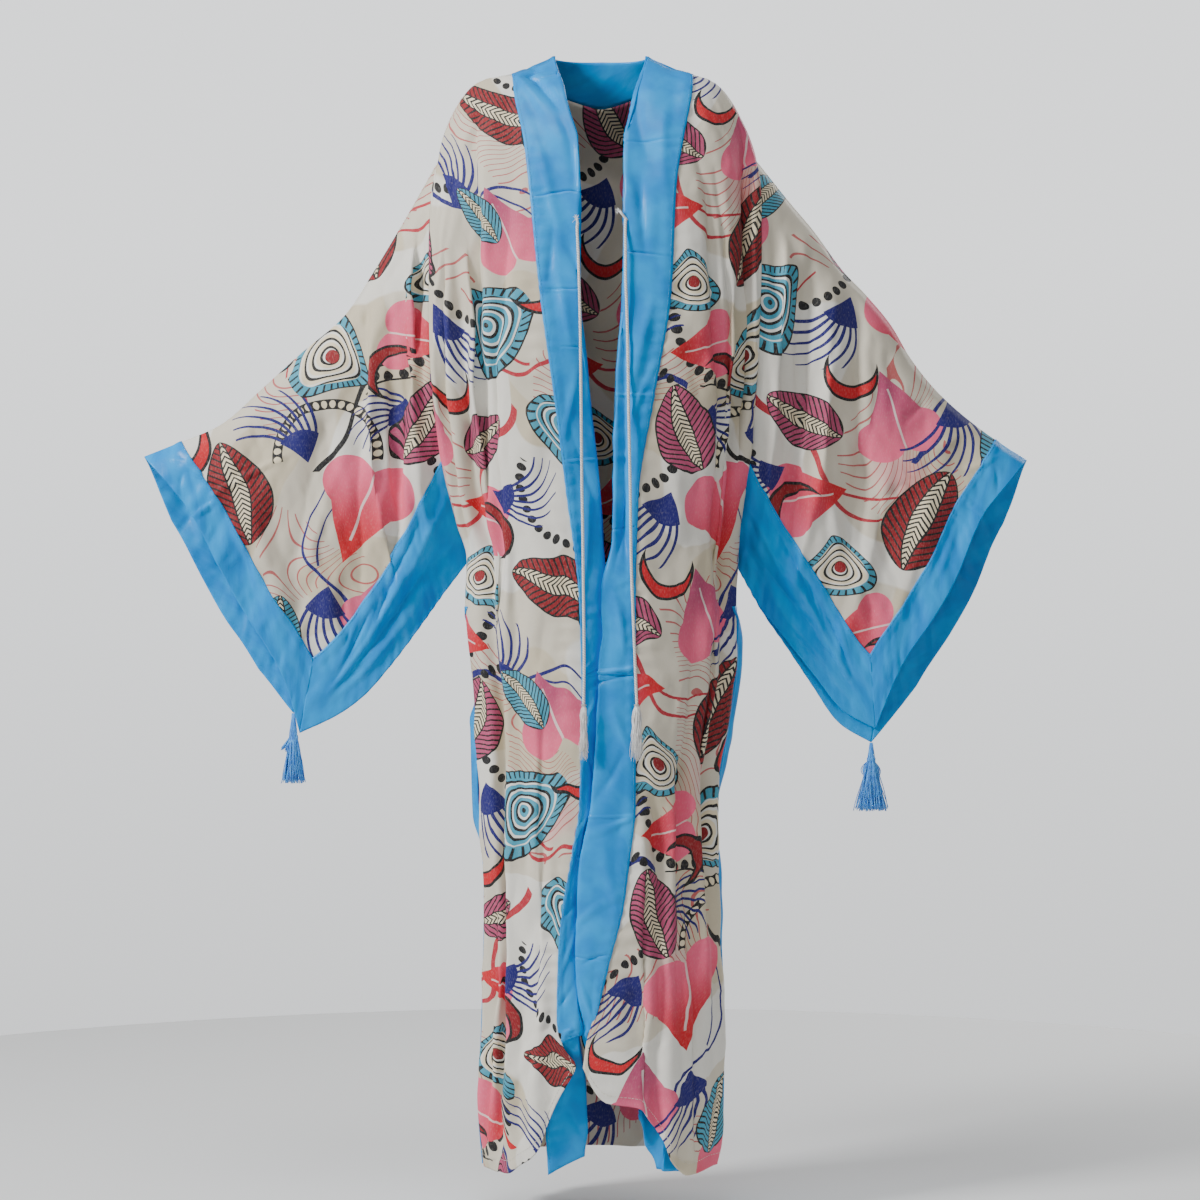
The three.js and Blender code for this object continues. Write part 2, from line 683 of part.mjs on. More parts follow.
function buildFrontBands() {
  for (const { name, sign } of sides) {
    const openEdgeLevels = bodyLevels.map((level) => frontLevel(sign, 1, level));
    const sewnLevels = openEdgeLevels.filter((level) => level > tailStart);
    const levels = [...sewnLevels, ...bandTails[name].map((row) => row.z)];
    const spotAt = (m, level) => bandSpot(sign, m, level);
    addPiece(`front_band_${name}`, clothWall(spotAt, bandAcross, levels, bandCloth), bandLook);
  }
  addPiece('neck_band', clothWall(neckBandSpot, evenly(backColumns), bandSteps, bandCloth), bandLook);
}

// Slit bands lie on the panels, on the same columns of points, moved out by the panel's own thickness.
function buildSlitBands() {
  const levels = [slitTop, ...slitLevels];
  const lift = panelCloth + seamGap;
  const places = slitBandColumns + 1;
  const ends = { right: evenly(backColumns).slice(0, places), left: evenly(backColumns).slice(-places) };
  const frontPlaces = evenly(frontColumns).slice(0, places);
  for (const { name, sign } of sides) {
    const onFront = (a, level) => frontSpot(sign, a, level);
    addPiece(`slit_band_${name}_front`, clothWall(onFront, frontPlaces, levels, bandCloth, lift), bandLook);
    addPiece(`slit_band_${name}_back`, clothWall(backSpot, ends[name], levels, bandCloth, lift), bandLook);
  }
}

const cuffSeamAt = (down) => mix(cuffSeam.atOverarm, cuffSeam.atLower, down);
const lowerSeamAt = (along) => mix(lowerSeam.atArmhole, lowerSeam.atCuff, along);

// The corner where the seams of the two sleeve bands cross.
function seamCorner() {
  let along = 0.85;
  for (let round = 0; round < 12; round += 1) {
    along = cuffSeamAt(lowerSeamAt(along));
  }
  return { along, down: lowerSeamAt(along) };
}

function sleeveSpot(sign, facing, along, down) {
  const out = along === 0 ? armholeOut(sign, facing, down) : sleeveOut(sign, facing, along, down);
  return { point: sleevePoint(sign, facing, along, down), out };
}

function buildSleeves() {
  const corner = seamCorner();
  const rootSteps = [0, 0.05, 0.11, 0.18, 0.25, 0.32, 0.39];
  const alongSteps = [...rootSteps, 0.46, 0.54, 0.62, 0.7, 0.78, 0.86, 0.93, 1];
  for (const { name, sign } of sides) {
    for (const { name: layer, facing } of layers) {
      const clothSpot = (a, b) => {
        const along = a * cuffSeamAt(b * corner.down);
        return sleeveSpot(sign, facing, along, b * lowerSeamAt(a * corner.along));
      };
      const cuffSpot = (a, b) => {
        const along = mix(cuffSeamAt(b * corner.down), 1, a);
        return sleeveSpot(sign, facing, along, b * mix(corner.down, 1, a));
      };
      const lowerSpot = (a, b) => {
        const down = mix(lowerSeamAt(a * corner.along), 1, b);
        return sleeveSpot(sign, facing, a * mix(corner.along, 1, b), down);
      };
      const cloth = clothWall(clothSpot, alongSteps, sleeveDownSteps, panelCloth);
      addPiece(`sleeve_${name}_${layer}`, cloth, clothLook);
      const cuff = clothWall(cuffSpot, bandSteps, sleeveDownSteps, bandCloth);
      addPiece(`cuff_band_${name}_${layer}`, cuff, bandLook);
      const lower = clothWall(lowerSpot, alongSteps, bandSteps, bandCloth);
      addPiece(`sleeve_band_${name}_${layer}`, lower, bandLook);
    }
  }
}

// Tie cords: each is sewn to the inner edge of its band and hangs plumb from the fullest part of the chest.
const cordDiameter = 3.4;
const cordSides = 8;
const cordSteps = 24;
const tieRoutes = {
  right: [
    [-28, -109.4, -199],
    [-28.5, -111.6, -206],
    [-28, -114, -218],
    [-27, -116.5, -240],
    [-26, -118, -270],
    [-25, -119, -310],
    [-24.5, -120, -350],
    [-24, -120, -400],
    [-23.5, -119.5, -450],
    [-23, -119, -500],
    [-22, -118.5, -550],
    [-21.5, -118, -600],
    [-21, -117.5, -650],
    [-20.5, -117.5, -700],
    [-21, -117.5, -748],
  ],
  left: [
    [27, -108.6, -194],
    [26.5, -111, -201],
    [26.5, -113.5, -212],
    [26.8, -116.2, -236],
    [27, -118, -266],
    [28.5, -119, -310],
    [29.5, -120, -355],
    [30, -120, -400],
    [31, -119.5, -450],
    [32, -119, -500],
    [32.5, -118.5, -550],
    [33.5, -118, -600],
    [35.5, -117.5, -650],
    [37.5, -117.5, -700],
    [39.5, -117.5, -748],
  ],
};

function tubeAlong(points, diameter, steps) {
  const path = new THREE.CatmullRomCurve3(points.map((point) => new THREE.Vector3(...point)));
  const section = new THREE.Shape();
  for (let corner = 0; corner < cordSides; corner += 1) {
    const angle = (corner * 2 * Math.PI) / cordSides;
    const place = [(Math.cos(angle) * diameter) / 2, (Math.sin(angle) * diameter) / 2];
    if (corner === 0) section.moveTo(...place);
    else section.lineTo(...place);
  }
  section.closePath();
  return new THREE.ExtrudeGeometry(section, { steps, bevelEnabled: false, extrudePath: path });
}

const wasm = await Module();
wasm.setup();

function toSolid(geometry) {
  const bare = geometry.clone();
  bare.deleteAttribute('normal');
  bare.deleteAttribute('uv');
  const merged = mergeVertices(bare, 1e-4);
  const vertProperties = new Float32Array(merged.attributes.position.array);
  const triVerts = new Uint32Array(merged.index.array);
  return new wasm.Manifold(new wasm.Mesh({ numProp: 3, vertProperties, triVerts }));
}

function fromSolid(solid) {
  const mesh = solid.getMesh();
  const geometry = new THREE.BufferGeometry();
  geometry.setAttribute('position', new THREE.BufferAttribute(new Float32Array(mesh.vertProperties), 3));
  geometry.setIndex(new THREE.BufferAttribute(new Uint32Array(mesh.triVerts), 1));
  return geometry;
}

const tassels = [
  {
    name: 'tie_tassel_right', look: cordLook, top: [-21, -117.5, -748.3],
    neck: 0, head: 4.2, headLength: 10,
    rootRadius: 3, strandWidth: 1, strands: 18, length: 62, spread: 5,
  },
  {
    name: 'tie_tassel_left', look: cordLook, top: [39.5, -117.5, -748.3],
    neck: 0, head: 5, headLength: 12,
    rootRadius: 3.6, strandWidth: 1, strands: 20, length: 60, spread: 8,
  },
  {
    name: 'sleeve_tassel_right', look: tasselLook, top: [-364.5, 1.3, -763.7],
    neck: 24, head: 6, headLength: 13,
    rootRadius: 4.6, strandWidth: 1.2, strands: 26, length: 48, spread: 12,
  },
  {
    name: 'sleeve_tassel_left', look: tasselLook, top: [317.9, 1.3, -798.6],
    neck: 20, head: 6, headLength: 13,
    rootRadius: 4.6, strandWidth: 1.2, strands: 28, length: 50, spread: 17,
  },
];

function tasselHead(shape) {
  const below = -shape.neck - shape.headLength;
  const neckRadius = shape.neck > 0 ? 1 : shape.head * 0.35;
  const profile = [
    new THREE.Vector2(0, below),
    new THREE.Vector2(shape.rootRadius + 0.8, below),
    new THREE.Vector2(shape.head, below + shape.headLength * 0.35),
    new THREE.Vector2(shape.head * 0.62, below + shape.headLength * 0.6),
    new THREE.Vector2(shape.head * 0.9, below + shape.headLength * 0.82),
    new THREE.Vector2(neckRadius, -shape.neck - 0.2),
  ];
  if (shape.neck > 0) profile.push(new THREE.Vector2(neckRadius, 0));
  profile.push(new THREE.Vector2(0, shape.neck > 0 ? 0 : -0.2));
  const head = new THREE.LatheGeometry(profile, 10);
  head.rotateX(Math.PI / 2);
  return head;
}

// A strand is a thin three-sided spike from a root inside the head to a tip below it.
function strandBetween(root, tip, width) {
  const length = root.distanceTo(tip);
  const strand = new THREE.CylinderGeometry(width * 0.55, width * 0.45, length, 3, 1);
  const turn = new THREE.Quaternion();
  turn.setFromUnitVectors(new THREE.Vector3(0, -1, 0), tip.clone().sub(root).normalize());
  strand.applyQuaternion(turn);
  const middle = root.clone().add(tip).multiplyScalar(0.5);
  strand.translate(middle.x, middle.y, middle.z);
  return strand;
}

function buildTassel(shape) {
  const goldenTurn = 2.399963;
  let solid = toSolid(tasselHead(shape));
  const rootLevel = -shape.neck - shape.headLength;
  for (let strand = 0; strand < shape.strands; strand += 1) {
    const share = Math.sqrt((strand + 0.5) / shape.strands);
    const angle = strand * goldenTurn;
    const uneven = 1 - 0.12 * Math.abs(Math.sin(strand * 1.7));
    const flare = 0.75 + 0.25 * Math.sin(strand * 2.3);
    const spread = mix(shape.rootRadius, shape.spread, flare);
    const direction = new THREE.Vector3(Math.cos(angle), Math.sin(angle), 0);
    const root = direction.clone().multiplyScalar(shape.rootRadius * share);
    const tip = direction.clone().multiplyScalar(spread * share);
    root.z = rootLevel + 1;
    tip.z = rootLevel - shape.length * uneven;
    solid = solid.add(toSolid(strandBetween(root, tip, shape.strandWidth)));
  }
  const geometry = fromSolid(solid);
  geometry.translate(...shape.top);
  addPiece(shape.name, geometry, shape.look);
}

buildBody();
buildFrontBands();
buildSlitBands();
buildSleeves();
for (const { name } of sides) {
  addPiece(`tie_cord_${name}`, tubeAlong(tieRoutes[name], cordDiameter, cordSteps), cordLook);
}
for (const shape of tassels) buildTassel(shape);

export default robe;
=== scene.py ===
import math

import bpy
import numpy as np
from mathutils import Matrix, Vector


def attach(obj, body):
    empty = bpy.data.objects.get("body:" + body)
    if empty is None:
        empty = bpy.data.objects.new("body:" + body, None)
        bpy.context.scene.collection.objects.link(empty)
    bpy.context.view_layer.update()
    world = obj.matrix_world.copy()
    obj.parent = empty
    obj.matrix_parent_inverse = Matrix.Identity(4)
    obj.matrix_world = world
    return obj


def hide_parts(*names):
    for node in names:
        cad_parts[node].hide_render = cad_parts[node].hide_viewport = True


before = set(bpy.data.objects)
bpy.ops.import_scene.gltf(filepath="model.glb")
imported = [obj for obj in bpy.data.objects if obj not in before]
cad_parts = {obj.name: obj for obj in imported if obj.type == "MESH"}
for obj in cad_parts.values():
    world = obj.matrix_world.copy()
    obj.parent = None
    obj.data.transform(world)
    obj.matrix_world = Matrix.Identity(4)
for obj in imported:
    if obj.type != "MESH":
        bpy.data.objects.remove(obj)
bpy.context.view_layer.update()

# A long open robe in printed cloth with plain blue bands, in the form it takes when worn.
# Front is towards -Y. The right side, as when it is worn, is at -X, and the left one at +X.
frontwards, backwards, downwards = np.array([0, -1, 0]), np.array([0, 1, 0]), np.array([0, 0, -1])
bpy.ops.object.select_all(action="DESELECT")
dice = np.random.default_rng(24)


def colour(red, green, blue):
    # from values of 0 to 255 to the linear ones of a shader
    shares = [value / 255 for value in (red, green, blue)]
    return tuple(s / 12.92 if s <= 0.04045 else ((s + 0.055) / 1.055) ** 2.4 for s in shares) + (1.0,)


# camera, straight in front of the robe's middle
view = {"place": (-0.0024, -3.4, -0.630), "lens": 86.4, "sensor": 36}
cameraData = bpy.data.cameras.new("camera")
cameraData.lens = view["lens"]
cameraData.sensor_width = view["sensor"]
camera = bpy.data.objects.new("camera", cameraData)
camera.location = view["place"]
camera.rotation_euler = (math.radians(90), 0, 0)
bpy.context.collection.objects.link(camera)
bpy.context.scene.camera = camera
print("camera placed")

# reading the tables: these columns are shares, or angles in degrees, and all others are in millimetres
plainColumns = set("along down from to slant spread lean turn hue lap tuck".split())
sides = (("right", -1), ("left", 1))
layers = (("front", -1), ("back", 1))


def table(columns, rows):
    values = zip(columns.split(), np.array(rows, dtype=float).T)
    return {name: column if name in plainColumns else column / 1000 for name, column in values}


def rowsOf(rows):
    # each row of a table with its number, by the names of the columns
    return [(index, dict(zip(rows, values))) for index, values in enumerate(zip(*rows.values()))]


def foldTable(rows):
    return table("around depth width top bottom drift", rows)


def creaseTable(rows):
    return table("u v lean length depth width bow", rows)


def pleatTable(rows):
    return table("u v lean length depth left right bow", rows)


def motifTable(rows):
    return table("x y turn size hue", rows)


def outline(rows):
    # the outline's points, with how far along it each one lies, from 0 to 1
    points = np.array(rows) / 1000
    run = np.concatenate([[0], np.cumsum(np.hypot(*np.diff(points, axis=0).T))])
    return {"along": run / run[-1], "out": points[:, 0], "z": points[:, 1]}


def mix(low, high, share):
    return low + (high - low) * share


def clampShare(value):
    return np.clip(value, 0, 1)


def ramp(value, low, high):
    share = clampShare((value - low) / (high - low))
    return share * share * (3 - 2 * share)


def inRange(value, rising, falling):
    return ramp(value, *rising) * ramp(value, *falling)


def ripple(place, index, waves, offset=0):
    # each wave: height, radians along the place, radians from fold to fold, share of the offset
    return sum(height * np.sin(place * pace + index * step + offset * share)
               for height, pace, step, share in waves)


def unit(ways):
    return ways / np.maximum(np.linalg.norm(ways, axis=-1, keepdims=True), 1e-12)


def midShare(share):
    # 1 along the middle, and down to 0 at both ends
    return clampShare(6 * share * (1 - share))


def rounded(value):
    return np.sign(value) * np.abs(value) ** roundness


def readTable(rows, key, place, column):
    # a smooth curve through a column that never overshoots its rows
    x, y = rows[key], rows[column]
    if x[0] > x[-1]:
        x, y = x[::-1], y[::-1]
    step = np.diff(x)
    rise = np.diff(y) / step
    before, after = rise[:-1], rise[1:]
    same = before * after > 0
    total = np.where(same, before + after, 1)
    slope = np.concatenate([rise[:1], np.where(same, 2 * before * after / total, 0), rise[-1:]])
    place = np.clip(place, x[0], x[-1])
    index = np.clip(np.searchsorted(x, place, side="right") - 1, 0, len(step) - 1)
    t = (place - x[index]) / step[index]
    straight = mix(y[index], y[index + 1], t * t * (3 - 2 * t))
    bend = t * (1 - t) * step[index]
    return straight + bend * ((1 - t) * slope[index] - t * slope[index + 1])


# the body's form
bodyRings = table("z right left edge front back", [
    (22, 54, 50, 0, 3, 48), (11, 58, 54, 0, 5, 50), (0, 80, 76, 0, 14, 53), (-11, 105, 104, 0, 24, 57),
    (-14, 126, 117, 0, 27, 58), (-20, 145, 131, 0, 32, 60), (-32, 159, 144, 0, 43, 64),
    (-57, 175, 160, 0, 60, 76), (-90, 188, 175, 0, 78, 90), (-112, 192, 181, 0, 87, 97),
    (-124, 194, 182, 22, 91, 99), (-160, 198, 184, 44, 100, 104), (-217, 200, 184, 58, 108, 108),
    (-335, 199, 181, 62, 114, 106), (-453, 189, 172, 48, 110, 100), (-540, 170, 161, 20, 107, 98),
    (-584, 158, 156, 0, 106, 98), (-640, 158, 156, 0, 105, 99), (-700, 153, 155, 0, 104, 101),
    (-780, 145, 144, 0, 104, 103), (-860, 143, 133, 0, 104, 104), (-980, 137, 136, 0, 105, 105),
    (-1128, 140, 142, 0, 107, 108), (-1225, 144, 141, 0, 110, 111), (-1295, 139, 133, 0, 112, 113),
])

openEdges = table("z right left", [
    (-11, 105, 104), (-12, 104, 104), (-20, 102, 104), (-40, 100, 102), (-99, 88, 91), (-158, 81, 82),
    (-276, 69, 76), (-394, 53, 57), (-512, 38, 38), (-630, 24, 35), (-748, 21, 35), (-866, 24, 35),
    (-925, 33, 29), (-984, 43, 21), (-1043, 48, 6), (-1102, 49, -8), (-1136, 46, -18), (-1165, 26, -22),
])

bandInnerEdges = table("z right left rise", [
    (-11, 58, 54, 22), (-20, 55, 50, 17), (-40, 46, 41, 7), (-60, 40, 36, 2), (-99, 29, 28, 0),
    (-276, 26, 24, 0), (-394, 15, 16, 0), (-512, 3, 14, 0), (-630, -3, 8.5, 0), (-748, 2, 3.5, 0),
    (-866, 9, -3.5, 0), (-925, 21, -15.5, 0), (-984, 25, -19.5, 0), (-1102, 28, -23, 0),
    (-1136, 28, -23, 0),
])

backNeckline = table("turn z", [
    (0, -11), (0.3, -9), (0.55, -12), (0.75, -21), (1, -40),
])

slitTucks = table("z tuck", [
    (-640, 0), (-658, 0.4), (-700, 1), (-1295, 1),
])

# where a slit's band shows, the back stands off the front, and its edge laps forward over it
slitLaps = {
    "right": table("z opening lap", [
        (-640, 0, 0), (-660, 0.6, -0.01), (-745, 0.6, -0.01), (-775, 9, 0.085), (-885, 9, 0.085),
        (-925, 0.8, -0.01), (-1295, 0.8, -0.01),
    ]),
    "left": table("z opening lap", [
        (-640, 0, 0), (-655, 5, 0.03), (-680, 9, 0.09), (-820, 9, 0.085), (-880, 0.8, -0.01),
        (-1295, 0.8, -0.01),
    ]),
}

cuffDepths = table("down deep", [
    (0, 0), (0.03, 14), (0.08, 21), (0.2, 25), (0.5, 17), (0.8, 8), (1, 0),
])

bandTails = {
    "right": table("z outer inner inset", [
        (-1131, 46, 28, 5), (-1160, 54, 24, 10), (-1195, 63, 20, 11), (-1245, 67, 19, 11),
        (-1290, 66, 22, 11),
    ]),
    "left": table("z outer inner inset", [
        (-1131, -17.5, -23, 5), (-1150, 12, -16, 10), (-1180, 52, 8, 11), (-1215, 88, 44, 11),
        (-1245, 98, 60, 12), (-1290, 96, 63, 12),
    ]),
}

frontHems = {
    "right": table("out z", [
        (26, -1158), (35, -1176), (50, -1202), (62, -1230), (73, -1258), (91, -1277), (118, -1292),
        (144, -1290),
    ]),
    "left": table("out z", [
        (-22, -1165), (-10, -1190), (4, -1205), (44, -1212), (57, -1230), (71, -1248), (84, -1275),
        (104, -1293), (138, -1288),
    ]),
}

bodyFolds = {
    "rightFront": foldTable([
        (34, 5, 12, -330, -1250, 6), (76, -15, 10, -210, -1190, 3), (93, 6, 9, -200, -1180, 3),
        (122, -4, 12, -560, -1290, -6), (144, 4, 10, -700, -1200, -3),
    ]),
    "leftFront": foldTable([
        (30, 4, 12, -420, -1290, 10), (62, -12, 10, -240, -900, -4), (80, 6, 10, -240, -1000, -4),
        (112, -5, 12, -620, -1290, 6), (148, -9, 9, -830, -1290, 4), (166, 6, 9, -850, -1290, 4),
    ]),
    "rightBack": foldTable([
        (38, 6, 13, -260, -1290, 8), (78, -11, 12, -180, -1290, 4), (104, 7, 13, -220, -1290, -3),
        (150, -8, 14, -150, -1180, -6), (182, 5, 12, -420, -1290, -3),
    ]),
    "leftBack": foldTable([
        (30, 5, 12, -300, -1290, 4), (88, 8, 13, -210, -1290, 5), (118, -10, 12, -170, -1200, 3),
        (150, 5, 13, -380, -1290, -5), (180, -7, 13, -160, -1290, -4),
    ]),
}

sleeveShapes = {
    "right": {
        "overarm": outline([
            (192, -112), (229, -177), (271, -247), (303, -295), (356, -341), (400, -381), (451, -425),
            (500, -446), (540, -462),
        ]),
        "cuff": outline([
            (540, -462), (513, -503), (487, -545), (457, -602), (433, -645), (406, -685), (379, -733),
            (357, -787),
        ]),
        "lower": outline([
            (158, -584), (183, -617), (210, -655), (235, -689), (254, -713), (281, -743), (311, -765),
            (357, -787),
        ]),
    },
    "left": {
        "overarm": outline([
            (181, -112), (221, -162), (248, -194), (284, -243), (310, -270), (340, -306), (363, -345),
            (395, -385), (447, -430), (501, -466),
        ]),
        "cuff": outline([
            (501, -466), (480, -502), (452, -548), (426, -610), (398, -658), (366, -704), (342, -746),
            (323, -782),
        ]),
        "lower": outline([
            (156, -584), (188, -640), (221, -682), (252, -721), (284, -760), (323, -782),
        ]),
    },
}

sleeveFolds = table("along depth spread from to slant", [
    (0.1, 7, 0.03, 0.05, 0.95, 0.05), (0.21, -5, 0.028, 0.08, 0.8, 0.06),
    (0.32, 7, 0.035, 0.1, 1, 0.09), (0.5, -5, 0.035, 0.1, 0.75, 0.08), (0.62, 5, 0.04, 0.15, 1, 0.1),
    (0.8, 4, 0.035, 0.1, 0.85, 0.06),
])

body = {
    "neckTop": 0.011, "neckTopRise": 0.003, "neckLevel": -0.011, "shoulderTip": -0.112,
    "joinLevel": -0.160, "underarm": -0.584, "slitTop": -0.640, "hem": -1.295, "edge": 0.0002,
    "hemCurveStart": -1.000, "hemReadAt": -1.2,
    "quarterGirth": 0.205, "fullTuck": 0.22, "foldFade": 0.090, "edgeFade": 0.026, "seamGap": 0.0003,
    "foldPower": 1.7, "lapShut": 0.62, "lapTurns": (0.02, -0.08),
    "sway": ((0.0022, 17, 2.1, 1), (0.0012, 41, 1.3, 0)),
    "uneven": ((0.22, 13, 1.9, 1), (0.1, 31, 1, 0)),
}
roundness = 0.85


def sideOf(sign):
    return "right" if sign < 0 else "left"


def halfWidthAt(sign, z):
    return readTable(bodyRings, "z", z, sideOf(sign))


def edgeDepthAt(z):
    return readTable(bodyRings, "z", z, "edge")


def bodyFoldAt(sign, facing, turn, z):
    folds = bodyFolds[sideOf(sign) + ("Front" if facing < 0 else "Back")]
    around = turn * body["quarterGirth"]
    push = np.zeros(np.broadcast(around, z).shape)
    for index, fold in rowsOf(folds):
        run = clampShare((fold["top"] - z) / (fold["top"] - fold["bottom"]))
        middle = fold["around"] + fold["drift"] * run + ripple(z, index, body["sway"], sign)
        uneven = 1 + ripple(z, index, body["uneven"], facing)
        fade = inRange(z, (fold["top"], fold["top"] - body["foldFade"]),
                       (fold["bottom"] - body["foldFade"], fold["bottom"]))
        apart = (around - middle) / fold["width"]
        push += fold["depth"] * uneven * fade * np.exp(-np.abs(apart) ** body["foldPower"])
    return push * ramp(around, 0, body["edgeFade"])


def bodyPoint(sign, facing, turn, z):
    # turn: 0 at the side edge, 1 on the middle line
    slit = 0
    if facing > 0:
        shut = body["lapShut"] * ramp(turn, *body["lapTurns"])
        slit = readTable(slitLaps[sideOf(sign)], "z", z, "opening") * (1 - shut)
    halfWidth = halfWidthAt(sign, z) + slit
    edge = edgeDepthAt(z)
    depth = readTable(bodyRings, "z", z, "front" if facing < 0 else "back")
    angle = turn * math.pi / 2
    x = sign * halfWidth * rounded(np.cos(angle))
    deep = rounded(np.sin(angle))
    reach = np.hypot(edge * np.sqrt(np.clip(1 - deep ** 2, 0, 1)), depth * deep)
    y = facing * (body["seamGap"] / 2 + np.where(deep < 0, -1, 1) * reach)
    away = np.stack([x / halfWidth ** 2, y / depth ** 2])
    away = away / np.maximum(np.hypot(*away), 1e-9) * bodyFoldAt(sign, facing, turn, z)
    return np.stack([x + away[0], y + away[1], z + np.zeros_like(x)], axis=-1)


def turnAt(sign, out, z):
    share = out / halfWidthAt(sign, z)
    cosine = np.sign(share) * np.abs(share) ** (1 / roundness)
    return np.arccos(np.clip(cosine, -1, 1)) * 2 / math.pi


def frontLevel(sign, across, level):
    # the lower edge of each front is drawn up towards the opening
    place = body["hemReadAt"] + np.zeros_like(across)
    out = sign * bodyPoint(sign, -1, frontTurn(sign, across, place), place)[..., 0]
    hem = readTable(frontHems[sideOf(sign)], "out", out, "z")
    start = body["hemCurveStart"]
    drawn = mix(start, hem, (level - start) / (body["hem"] - start))
    return np.where(level > start, level, drawn)


def frontTurn(sign, across, z):
    tuck = -body["fullTuck"] * readTable(slitTucks, "z", z, "tuck")
    return mix(tuck, turnAt(sign, readTable(openEdges, "z", z, sideOf(sign)), z), across)


def frontPoint(sign, across, level):
    z = frontLevel(sign, across, level)
    return bodyPoint(sign, -1, frontTurn(sign, across, z), z)


def backTurn(across, level):
    # across: 0 at the right side edge, 1 at the left one
    laps = [readTable(slitLaps[side], "z", level, "lap") for side, _ in sides]
    return mix(-np.where(across < 0.5, *laps), 1, 1 - np.abs(2 * across - 1))


def backSurface(across, turn, z):
    right, left = bodyPoint(-1, 1, turn, z), bodyPoint(1, 1, turn, z)
    return np.where((across < 0.5)[..., None], right, left)


def backPoint(across, level):
    turn = backTurn(across, level)
    join = body["joinLevel"]
    top = readTable(backNeckline, "turn", turn, "z")
    fallen = (level - body["neckLevel"]) / (join - body["neckLevel"])
    return backSurface(across, turn, np.where(level > join, mix(top, join, fallen), level))


def neckBandPoint(across, up):
    turn = 1 - np.abs(2 * across - 1)
    sewn = readTable(backNeckline, "turn", turn, "z")
    return backSurface(across, turn, mix(sewn, body["neckTop"] + body["neckTopRise"] * turn, up))


# the front band: the shown part lies on the body, the rest of its width is turned in at the opening
# each depth is followed by the levels at which it comes in and goes out
bandForm = {
    "width": 0.058, "shown": 0.6, "leastTurned": 0.003, "lap": 0.0025,
    "tailStart": -1.125, "tailBlend": 0.03,
    "closing": 0.0085, "closingLevels": ((-0.56, -0.62), (-1.12, -1.06)),
    "sink": 0.0115, "sinkLevels": ((-0.28, -0.42), (-1.12, -1.02)), "sinkPower": 1.6,
    "round": 0.0024, "roundLevels": ((-0.10, -0.20), (-1.12, -1.04)), "roundPower": 0.8,
    "slopeStep": 0.004, "turningLevels": (-0.06, -0.2),
    "lappedLevels": (-0.52, -0.60), "lappedWay": (0.62, -0.215, 0),
}


def bandPoint(sign, m, level):
    side = sideOf(sign)
    closing = bandForm["closing"] * inRange(level, *bandForm["closingLevels"]) if sign > 0 else 0
    tail = level < bandForm["tailStart"]
    rows = bandTails[side]
    outer = np.where(tail, readTable(rows, "z", level, "outer"), readTable(openEdges, "z", level, side))
    above = readTable(bandInnerEdges, "z", level, side)
    inner = np.where(tail, readTable(rows, "z", level, "inner"), above) - closing
    rise = np.where(tail, 0, readTable(bandInnerEdges, "z", level, "rise"))
    inset = readTable(rows, "z", level, "inset")
    inset = inset * ramp(level, bandForm["tailStart"] + bandForm["tailBlend"], rows["z"][0])
    shown = clampShare(m / bandForm["shown"])
    z = level + rise * shown
    lapped = outer + bandForm["lap"] * np.where(tail, 0, 1)
    turn = mix(turnAt(sign, lapped, level), turnAt(sign, inner, level + rise), shown)
    point = bodyPoint(sign, -1, turn, z)
    step = bandForm["slopeStep"]
    slope = bodyPoint(sign, -1, turn + step, z) - bodyPoint(sign, -1, turn - step, z)
    inwards = unit(np.stack([-slope[..., 1], slope[..., 0], np.zeros_like(z)], axis=-1) * -sign)
    inwards = np.where(inwards[..., 1:2] < 0, -inwards, inwards)
    sink = inRange(level, *bandForm["sinkLevels"]) * shown ** bandForm["sinkPower"]
    bulge = inRange(level, *bandForm["roundLevels"]) * np.sin(shown * math.pi) ** bandForm["roundPower"]
    settle = bandForm["sink"] * sink if sign < 0 else -bandForm["round"] * bulge
    point = point + inwards * (inset + settle)[..., None]
    turning = ramp(level, *bandForm["turningLevels"])
    unshown = (bandForm["width"] - np.abs(outer - inner)) * turning
    hidden = np.maximum(bandForm["leastTurned"], unshown)
    turnedIn = np.maximum(0, (m - bandForm["shown"]) / (1 - bandForm["shown"])) * hidden
    lapped = ramp(level, *bandForm["lappedLevels"])[..., None] * (1 if sign > 0 else 0)
    straight = backwards + lapped * np.array(bandForm["lappedWay"])
    towards = inwards + (straight - inwards) * turning[..., None]
    return point + towards * turnedIn[..., None]


# the sleeves' form
sleeveBands = {"cuffAtOverarm": 0.914, "cuffAtLower": 0.83, "lowerAtArmhole": 0.76, "lowerAtCuff": 0.82}
# the back layer reaches past the front one at the cuff, and hangs lower or higher at the lower edge
sleeveReach = {"right": {"cuff": 0.017, "lower": -0.025}, "left": {"cuff": 0.018, "lower": 0.017}}
sleeveForm = {
    "foldFade": 0.18, "rootFade": 0.08, "depthBlend": (-0.1, 0.9), "fullFoldDepth": 0.02,
    "pastWay": (0.87, -0.49), "pastPower": 4,
    "lowerWay": (-0.3, -0.95), "lowerPower": 3, "lowerBlend": (0.1, 1),
    "sway": ((0.008, 9, 1.7, 0),), "uneven": ((0.25, 7, 2.3, 0),),
}


def cuffSeam(down):
    return mix(sleeveBands["cuffAtOverarm"], sleeveBands["cuffAtLower"], down)


def lowerSeam(along):
    return mix(sleeveBands["lowerAtArmhole"], sleeveBands["lowerAtCuff"], along)


def armholeLevel(down):
    return mix(body["shoulderTip"], body["underarm"], down)


